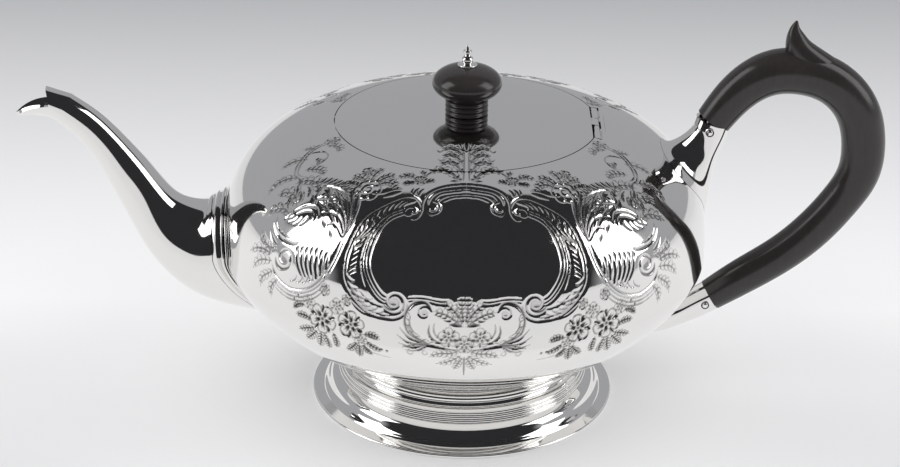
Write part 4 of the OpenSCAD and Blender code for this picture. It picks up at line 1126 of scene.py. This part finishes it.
def tube_mesh(name, rings, closed=True, caps=False):
    """A tube over rings that all have the same number of points."""
    rings = np.asarray(rings)
    rows, cols = rings.shape[:2]
    obj = mesh_of(name, rings, grid_faces(rows, cols, closed, True))
    if caps:
        bm = bmesh.new()
        bm.from_mesh(obj.data)
        bm.verts.ensure_lookup_table()
        for loop in (range(cols)[::-1], range((rows - 1) * cols, rows * cols)):
            bm.faces.new([bm.verts[i] for i in loop])
        bm.to_mesh(obj.data)
        bm.free()
    return obj


def outward(obj):
    """Turns the faces of a closed piece outwards."""
    bm = bmesh.new()
    bm.from_mesh(obj.data)
    if bm.calc_volume(signed=True) < 0:
        bmesh.ops.reverse_faces(bm, faces=bm.faces)
        bm.to_mesh(obj.data)
    bm.free()


# %% Spout rings
ROOT_Z, ROOT_HALF_H, ROOT_HALF_W, ROOT_EGG = WAIST_Z - 5.6, 20.4, 18.0, 0.1
ROOT_STEP, FLANGE_T, COLLAR_END, SEAT = 0.6, 0.6, 4.2, 0.2
spout_stations = [[6.7, 2.8, 16.2], [13.8, 7.6, 13], [19.7, 12.4, 10.1], [24.8, 19.4, 8.25],
                  [29.9, 27.8, 7.25], [34.9, 35.3, 6.25], [42, 44, 5.4], [50.6, 50.8, 4.95]]
LIP_OUT, LIP_UP, LIP_HALF, LIP_HOLLOW, BEAK, BEAK_ARCH = 55.5, 52.3, 4.9, 1.3, 10.0, 1.5


def root_loop(grow, standoff, angles=ring_angles):
    """Egg-shaped ring round the spout's root, standoff away from the body."""
    z = ROOT_Z + (ROOT_HALF_H + grow) * np.cos(angles)
    y = (ROOT_HALF_W + grow) * np.sin(angles) * (1 + ROOT_EGG * np.cos(angles))
    radius = np.array([body_radius(h, standoff) for h in z])
    return np.stack([-np.sqrt(radius ** 2 - y ** 2), y, z], -1)


def mouth_rim(inset):
    """The open mouth: a hollowed upper lip, and a beak that runs forward below."""
    a = ring_angles
    b = np.minimum(a, 2 * math.pi - a)
    share = np.where(b < math.pi / 2, 0, np.maximum(b / (math.pi / 2) - 1, 0) ** 1.5)
    upper = np.cos(a) > 0.001
    side = np.where(np.sin(a) < 0, -1, 1)
    x = -WAIST_R - LIP_OUT + LIP_HOLLOW * np.where(upper, np.sin(a) ** 2, 1) \
        - (BEAK + LIP_HOLLOW) * share
    y = (LIP_HALF - inset) * np.where(upper, np.sin(a), side * np.sqrt(np.maximum(0, 1 - share)))
    z = ROOT_Z + LIP_UP - inset * np.cos(a) \
        + LIP_HALF * np.where(upper, np.cos(a), -0.4 * share - 0.6 * share ** 3)
    return np.stack([x, y, z], -1), share


def spout_rings(inset):
    """Rings of the spout from the root to the mouth, moved in by inset."""
    path = [[-WAIST_R - s[0], ROOT_Z + s[1], s[2]] for s in spout_stations]
    lean = leans(path)
    # The first station leans a little up, to meet the root
    lean[0] = [-math.cos(math.radians(6)), math.sin(math.radians(6))]
    rings = [root_loop(-ROOT_STEP - inset, COLLAR_END + SEAT)]
    rings += [ring(p, t, p[2] - inset) for p, t in zip(path, lean)]
    body = smooth_through(np.array(rings), 96)
    rim, share = mouth_rim(inset)
    lips = []
    for k in np.linspace(0, 1, 15)[1:]:
        arch = np.zeros_like(rim)
        arch[:, 2] = BEAK_ARCH * k * (1 - k) * share
        lips.append(rings[-1] * (1 - k) + rim * k + arch)
    return list(body) + lips


SPOUT_WALL = 1.0
outer_rings = spout_rings(0.0)
inner_rings = spout_rings(SPOUT_WALL)
lip_round = [0.5 * (outer_rings[-1] + inner_rings[-1])]
spout = tube_mesh("spout_tube", outer_rings + lip_round + inner_rings[::-1])
outward(spout)
finish_normals(spout, 45)
spout.data.materials.append(polished_silver)
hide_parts("spout_shell")
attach(spout, "pot")
print("spout faces", len(spout.data.polygons))

# %% [markdown]
# ## The moulding at the spout's root
#
# Two drawn wires, a heavy one and a light one, hide the solder between spout and body. They
# follow the egg-shaped opening, so their section is swept round it, always the same
# distance away from the curved body.

# %% Swept mouldings
hoop_angles = np.linspace(0, 2 * math.pi, 240, endpoint=False)


def root_hoop(name, section, node):
    """A wire round the root, from a section of [distance from the loop, distance off the body]."""
    loops = [root_loop(grow, stand, hoop_angles) for grow, stand in section]
    obj = tube_mesh(name, loops)
    outward(obj)
    finish_normals(obj, 50)
    obj.data.materials.append(polished_silver)
    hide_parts(node)
    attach(obj, "pot")


RIDGE, WELL = 1.5, -1.6
collar_section = [[WELL, FLANGE_T + SEAT], [RIDGE - 0.6, FLANGE_T + SEAT]] \
    + [[RIDGE - 0.45 + 0.45 * math.cos(a), FLANGE_T + 0.62 + 0.42 * math.sin(a)]
       for a in np.linspace(-1.2, 1.4, 10)] \
    + [[0.15, FLANGE_T + 1.5], [-0.05, FLANGE_T + 1.75]] \
    + [[0.15 + 0.3 * math.cos(a), FLANGE_T + 2.4 + 0.35 * math.sin(a)]
       for a in np.linspace(-1.2, 1.4, 8)] \
    + [[-0.3, FLANGE_T + 3.0], [-0.45, COLLAR_END], [WELL, COLLAR_END]]
root_hoop("spout_moulding", collar_section, "spout_collar")
root_section = [[WELL, SEAT], [RIDGE + 0.5, SEAT], [RIDGE + 0.45, FLANGE_T * 0.5],
                [RIDGE - 0.1, FLANGE_T * 0.85], [RIDGE - 0.6, FLANGE_T], [WELL, FLANGE_T]]
root_hoop("spout_flange", root_section, "spout_root")

# %% [markdown]
# ## The handle
#
# The handle is sawn from a plank and rounded with a rasp. Its curve runs through a few
# stations, and a second limb peels off it as the scroll for the thumb. It ends in tenons
# that go into two silver sockets and are pinned there.

# %% Handle limbs
# The grip is a little narrower from side to side, and the wood is a hair finer than the
# plain solid, so that it stays inside the same box
HANDLE_ACROSS, WOOD_OFF = 0.94, 0.04
handle_stations = [[0.6, 43.6, 5.8], [6.3, 51.6, 6.4], [12.2, 57.1, 6.9], [19, 60.3, 7.3],
                   [27, 60.6, 7.4], [35.2, 58.3, 7.3], [42, 53.4, 7.2], [47, 45.6, 7.1],
                   [49.1, 34.8, 7], [48.2, 26, 6.8], [44.3, 18.1, 6.5], [36.1, 7.1, 6.4],
                   [25.5, -2.9, 6.2], [13.5, -11.2, 6], [3.5, -18.1, 5.3]]
scroll_stations = [[43.5, 50, 5], [37.5, 57.6, 5.9], [31, 62.9, 5.6], [26.4, 67.6, 4.6],
                   [24.6, 72, 3.1], [24.2, 75.1, 1.6], [24.6, 77.4, 0.4]]


def from_body(stations):
    """Stations measured from the widest line of the body, in the pot's own millimetres."""
    return [[WAIST_R + s[0], WAIST_Z + s[1], s[2]] for s in stations]


def limb(name, stations, count):
    path = smooth_through(from_body(stations), count)
    rings = [ring(p, t, p[2] - WOOD_OFF, HANDLE_ACROSS) for p, t in zip(path, leans(path))]
    obj = tube_mesh(name, rings, closed=False, caps=True)
    outward(obj)
    finish_normals(obj, 50)
    obj.data.materials.append(ebonised_wood)
    return obj


handle = limb("handle_scroll", handle_stations, 220)
thumb = limb("handle_thumb_leaf", scroll_stations, 90)
for piece in (handle, thumb):
    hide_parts("handle_grip")
    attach(piece, "pot")

# %% [markdown]
# ## The sockets
#
# Each socket starts as a collar that fits the wood and spreads to a foot that lies on the
# body, a teardrop above and an oval below.

# %% Socket rings
SOCKET_WALL = 0.9
upper_stations = [[-0.4, 40.4, 5.65], [-2.6, 36, 6.2], [-5.4, 31.6, 8.2]]
lower_stations = [[-1.8, -21.4, 4.9], [-9, -25.2, 4.5], [-16, -26.8, 4.9]]


def socket_foot(low_z, high_z, w, inset, pointed):
    """The edge of a socket's foot on the body, a teardrop if pointed and else an oval."""
    a = ring_angles
    half = (high_z - low_z) / 2 - inset
    width = (w - inset * 0.6) * (1 - np.cos(a)) if pointed else np.full_like(a, w - inset)
    way = -np.cos(a) if pointed else np.cos(a)
    z = WAIST_Z + (low_z + high_z) / 2 + half * way
    y = width * np.sin(a)
    radius = np.array([body_radius(h, 0.05) for h in z])
    return np.stack([np.sqrt(radius ** 2 - y ** 2), y, z], -1)


def socket_piece(name, node, end, way, handle_way, stations, foot_sizes):
    """A socket from the end of the handle, whose rings all face along the handle's own way."""
    path = [[end[0] + way[0] * 0.05, end[1] + way[1] * 0.05, end[2] - 0.15]] + from_body(stations)
    lean = [t if np.dot(t, handle_way) >= 0 else -t for t in leans(path)]
    shells = []
    for inset in (0.0, SOCKET_WALL):
        rings = [ring(p, t, p[2] - inset, 1 if i == 0 else HANDLE_ACROSS)
                 for i, (p, t) in enumerate(zip(path, lean))]
        rings.append(socket_foot(*foot_sizes[:3], inset, foot_sizes[3]))
        shells.append(smooth_through(np.array(rings), 48))
    obj = tube_mesh(name, list(shells[0]) + list(shells[1][::-1]))
    outward(obj)
    finish_normals(obj, 45)
    obj.data.materials.append(polished_silver)
    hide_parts(node)
    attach(obj, "pot")
    return obj


handle_path = from_body(handle_stations)
first, last = leans(handle_path)[[0, -1]]
upper = socket_piece("socket_upper", "upper_socket", handle_path[0], -first, first,
                     upper_stations, (10.4, 35.2, 11.0, True))
lower = socket_piece("socket_lower", "lower_socket", handle_path[-1], last, last,
                     lower_stations, (-30.4, -21.4, 6.0, False))

# %% Pins through the sockets
PIN_R, PIN_INSET = 1.45, 2.6
# The domed head, in millimetres out from the socket's side, and the darker ring round it
HEAD_R, HEAD_FROM, HEAD_RISE = 0.98, 0.15, 0.5
GROOVE_IN, GROOVE_OUT = 0.96, 1.3


def mesh_points(obj):
    """All points of a mesh, in millimetres."""
    flat = np.empty(len(obj.data.vertices) * 3, np.float32)
    obj.data.vertices.foreach_get("co", flat)
    return flat.reshape(-1, 3) / MM


def socket_pin(name, node, socket, end, way):
    """A silver pin from side to side, each domed head in a darker, duller ring."""
    spot = np.array([end[0] + way[0] * PIN_INSET, end[1] + way[1] * PIN_INSET])
    points = mesh_points(socket)
    near = np.hypot(points[:, 0] - spot[0], points[:, 2] - spot[1]) < PIN_R + 0.4
    reach = float(np.abs(points[near, 1]).max())
    turn = np.linspace(0, math.pi / 2, 10)
    dome = [[HEAD_R * math.sin(a) if a else 0.02, reach + HEAD_FROM + HEAD_RISE * math.cos(a)]
            for a in turn]
    half = dome + [[1.1, reach + 0.05], [1.22, reach + 0.22], [1.4, reach + 0.22],
                   [PIN_R, reach - 0.3]]
    outline = [[r, -z] for r, z in half] + [[r, z] for r, z in reversed(half)]
    obj = turned(name, outline, engraved_silver, 48, 40)
    around = mesh_points(obj)
    far = np.hypot(around[:, 0], around[:, 1])
    groove = ((far > GROOVE_IN) & (far < GROOVE_OUT)).astype(np.float32)
    obj.data.attributes.new("cut", "FLOAT", "POINT").data.foreach_set("value", groove)
    # Lay the pin over, so that it runs from side to side
    laid = np.stack([around[:, 0] + spot[0], -around[:, 2], around[:, 1] + spot[1]], 1) * MM
    obj.data.vertices.foreach_set("co", laid.ravel().astype(np.float32))
    obj.data.update()
    finish_normals(obj, 40)
    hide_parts(node)
    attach(obj, "pot")
    print(name, "reaches", round(reach + HEAD_FROM + HEAD_RISE, 2), "mm to each side")


socket_pin("pin_upper", "upper_pin", upper, handle_path[0], -first)
socket_pin("pin_lower", "lower_pin", lower, handle_path[-1], last)

# %% [markdown]
# ## Small fittings
#
# The ledge in the mouth, the hinge, the bezel and the finial's screw are already right as
# plain solids, so they only get their metal.

# %% Finishes of the plain parts
shown = ["mouth_ring", "body_hinge", "hinge_pin", "lid_hinge_leaf", "lid_bezel", "finial_stud",
         "finial_washer", "finial_nut"]
for name in shown:
    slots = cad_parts[name].material_slots
    if not slots:
        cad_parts[name].data.materials.append(polished_silver)
    for slot in slots:
        slot.material = polished_silver
print("plain parts finished:", len(shown))

# %% [markdown]
# ## Studio
#
# Polished silver has no colour of its own: it shows the room. The room here is a pale
# table, a tall soft box on each side, a dark space in front and overhead, and a grey wall
# behind. The world colour depends only on the direction and on the kind of ray: mirrors
# see the room, matt things get even light, and the camera a plain pale background.

# %% Table
TABLE_HALF, TABLE_Z = 3200.0, -0.3
# A painted pool of light round the pot, against its own shadow: the paper is painted white out to
# this far from the pot's middle, in metres, fading out by that far
LIGHT_POOL_IN, LIGHT_POOL_OUT = 0.05, 0.17
MIRROR_SHARE = 0.72


def table_finish():
    """Matt paper with painted light: a painted falloff, grey in front and behind, and a painted
    pool of white round the pot.
    """
    material = bpy.data.materials.new("matt_paper_table")
    tree = empty_tree(material)
    place = add_node(tree, "ShaderNodeTexCoord").outputs["Object"]
    depth = add_node(tree, "ShaderNodeSeparateXYZ", {}, {0: place}).outputs["Y"]
    # Painted falloff of light: the paper is painted lightest across the middle and greyer in front
    # and behind
    ramp = add_node(tree, "ShaderNodeValToRGB", {}, {
        "Fac": add_node(tree, "ShaderNodeMapRange", {}, {
            "Value": depth, "From Min": -0.6, "From Max": 0.6}).outputs["Result"]})
    stops = ramp.color_ramp.elements
    stops[0].position, stops[0].color = 0.34, linear("#C2C3C4")
    stops[1].position, stops[1].color = 0.86, linear("#A9AAAC")
    middle = stops.new(0.55)
    middle.color = linear("#F2F2F2")
    # Painted pool of light: the paper is painted white round the pot, where its own shadow falls
    far = add_node(tree, "ShaderNodeVectorMath", {"operation": "LENGTH"},
                   {0: place}).outputs["Value"]
    painted_light_pool = add_node(tree, "ShaderNodeMapRange", {"interpolation_type": "SMOOTHSTEP"}, {
        "Value": far, "From Min": LIGHT_POOL_IN, "From Max": LIGHT_POOL_OUT, "To Min": 1.0, "To Max": 0.0})
    colour = add_node(tree, "ShaderNodeMix", {"data_type": "RGBA"}, {
        "Factor": painted_light_pool.outputs["Result"], "A": ramp.outputs["Color"], "B": linear("#FFFFFF")})
    paper = add_node(tree, "ShaderNodeBsdfPrincipled", {}, {
        "Base Color": colour.outputs["Result"], "Roughness": 0.9})
    # Mirrors see the paper a little brighter than it lies in the pot's own shadow
    glow = add_node(tree, "ShaderNodeEmission", {}, {"Color": linear("#F1F1F2"), "Strength": 1.0})
    rays = add_node(tree, "ShaderNodeLightPath").outputs
    share = maths(tree, "MULTIPLY", rays["Is Glossy Ray"], MIRROR_SHARE)
    mixed = add_node(tree, "ShaderNodeMixShader", {}, {
        "Fac": share, 1: paper.outputs["BSDF"], 2: glow.outputs["Emission"]})
    add_node(tree, "ShaderNodeOutputMaterial", {}, {"Surface": mixed.outputs["Shader"]})
    return material


corners = [[x * TABLE_HALF, y * TABLE_HALF, TABLE_Z] for x,
           y in ((-1, -1), (1, -1), (1, 1), (-1, 1))]
table = mesh_of("studio_table", corners, np.array([[0, 1, 2, 3]]))
table.data.materials.append(table_finish())


# %% Room
# The dark space ends this many degrees from the front, counted over the top, and where
# a direction points this much sideways; both edges are soft, from first to second value
DARK_LIFT, DARK_SIDE = (119.5, 117.5), (0.93, 0.84)


def studio_world():
    """The room as a colour for each direction and each kind of ray."""
    world = bpy.data.worlds.new("studio_room")
    tree = empty_tree(world)
    way = add_node(tree, "ShaderNodeTexCoord").outputs["Generated"]
    part = add_node(tree, "ShaderNodeSeparateXYZ", {}, {0: way}).outputs
    front = maths(tree, "MULTIPLY", part["Y"], -1.0)
    lift = maths(tree, "ARCTAN2", maths(tree, "ABSOLUTE", part["Z"]), front)
    below = add_node(tree, "ShaderNodeMapRange", {"interpolation_type": "SMOOTHSTEP"}, {
        "Value": lift, "From Min": math.radians(DARK_LIFT[0]),
        "From Max": math.radians(DARK_LIFT[1])})
    inside = add_node(tree, "ShaderNodeMapRange", {"interpolation_type": "SMOOTHSTEP"}, {
        "Value": maths(tree, "ABSOLUTE", part["X"]), "From Min": DARK_SIDE[0],
        "From Max": DARK_SIDE[1]})
    dark = maths(tree, "MULTIPLY", below.outputs["Result"], inside.outputs["Result"])
    room = add_node(tree, "ShaderNodeMix", {"data_type": "RGBA"}, {
        "Factor": dark, "A": linear("#A6A7AA"), "B": linear("#2C2C2E")})
    # Only mirrors see the dark space: matt things get the same light from all sides
    rays = add_node(tree, "ShaderNodeLightPath").outputs
    even = add_node(tree, "ShaderNodeMix", {"data_type": "RGBA"}, {
        "Factor": rays["Is Glossy Ray"], "A": linear("#CBCBCD"), "B": room.outputs["Result"]})
    seen = add_node(tree, "ShaderNodeMix", {"data_type": "RGBA"}, {
        "Factor": rays["Is Camera Ray"], "A": even.outputs["Result"], "B": linear("#D8D9DB")})
    back = add_node(tree, "ShaderNodeBackground", {}, {
        "Color": seen.outputs["Result"], "Strength": 1.0})
    add_node(tree, "ShaderNodeOutputWorld", {}, {"Surface": back.outputs["Background"]})
    return world


bpy.context.scene.world = studio_world()


# %% Lamps
def turn_to(obj, right, up, back, place):
    """Stands an object at a place, looking away from back."""
    rows = [[right[i], up[i], back[i], place[i]] for i in range(3)]
    obj.matrix_world = Matrix(rows + [[0, 0, 0, 1]])


def area_lamp(name, place, target, width, height, strength, seen_in_silver=True):
    """A soft box that faces its target."""
    lamp = bpy.data.lights.new(name, "AREA")
    lamp.shape = "RECTANGLE"
    lamp.size, lamp.size_y = width, height
    # Power that gives the panel this brightness, where 1 is paper white
    lamp.energy = strength * math.pi * width * height
    obj = new_object(name, lamp)
    place = np.array(place)
    back = place - np.array(target)
    back = back / np.linalg.norm(back)
    right = np.cross([0, 0, 1] if abs(back[2]) < 0.9 else [0, 1, 0], back)
    right /= np.linalg.norm(right)
    up = np.cross(back, right)
    turn_to(obj, right, up, back, place)
    obj.visible_glossy = seen_in_silver
    obj.visible_camera = False


AIM = (0, 0, 0.06)
BOX_WIDTH, BOX_HEIGHT, BOX_STRENGTH = 0.56, 1.08, 2.4
azimuth, lift, distance = math.radians(80), math.radians(32), 1.25
for name, side in (("soft_box_left", -1), ("soft_box_right", 1)):
    place = [side * math.sin(azimuth) * math.cos(lift) * distance,
             -math.cos(azimuth) * math.cos(lift) * distance, AIM[2] + math.sin(lift) * distance]
    area_lamp(name, place, AIM, BOX_WIDTH, BOX_HEIGHT, BOX_STRENGTH)
area_lamp("overhead", (0, 0.1, 1.8), (0, 0, 0), 3.4, 3.4, 0.5, False)

# %% Camera
camera = bpy.data.cameras.new("camera")
camera.lens, camera.sensor_width = 88.3, 36.0
camera_obj = new_object("camera", camera)
lift, roll = math.radians(24.65), math.radians(0.87)
LOOK_AT, AWAY = np.array([-4.7, 0, 55.3]) * MM, 0.720
level = np.array([1.0, 0, 0])
back = np.array([0, -math.cos(lift), math.sin(lift)])
upright = np.array([0, math.sin(lift), math.cos(lift)])
right = level * math.cos(roll) + upright * math.sin(roll)
up = upright * math.cos(roll) - level * math.sin(roll)
spot = LOOK_AT + back * AWAY
turn_to(camera_obj, right, up, back, spot)
bpy.context.scene.camera = camera_obj
bpy.context.scene.view_settings.view_transform = "Standard"
print("camera at", [round(c * 1000, 1) for c in spot])
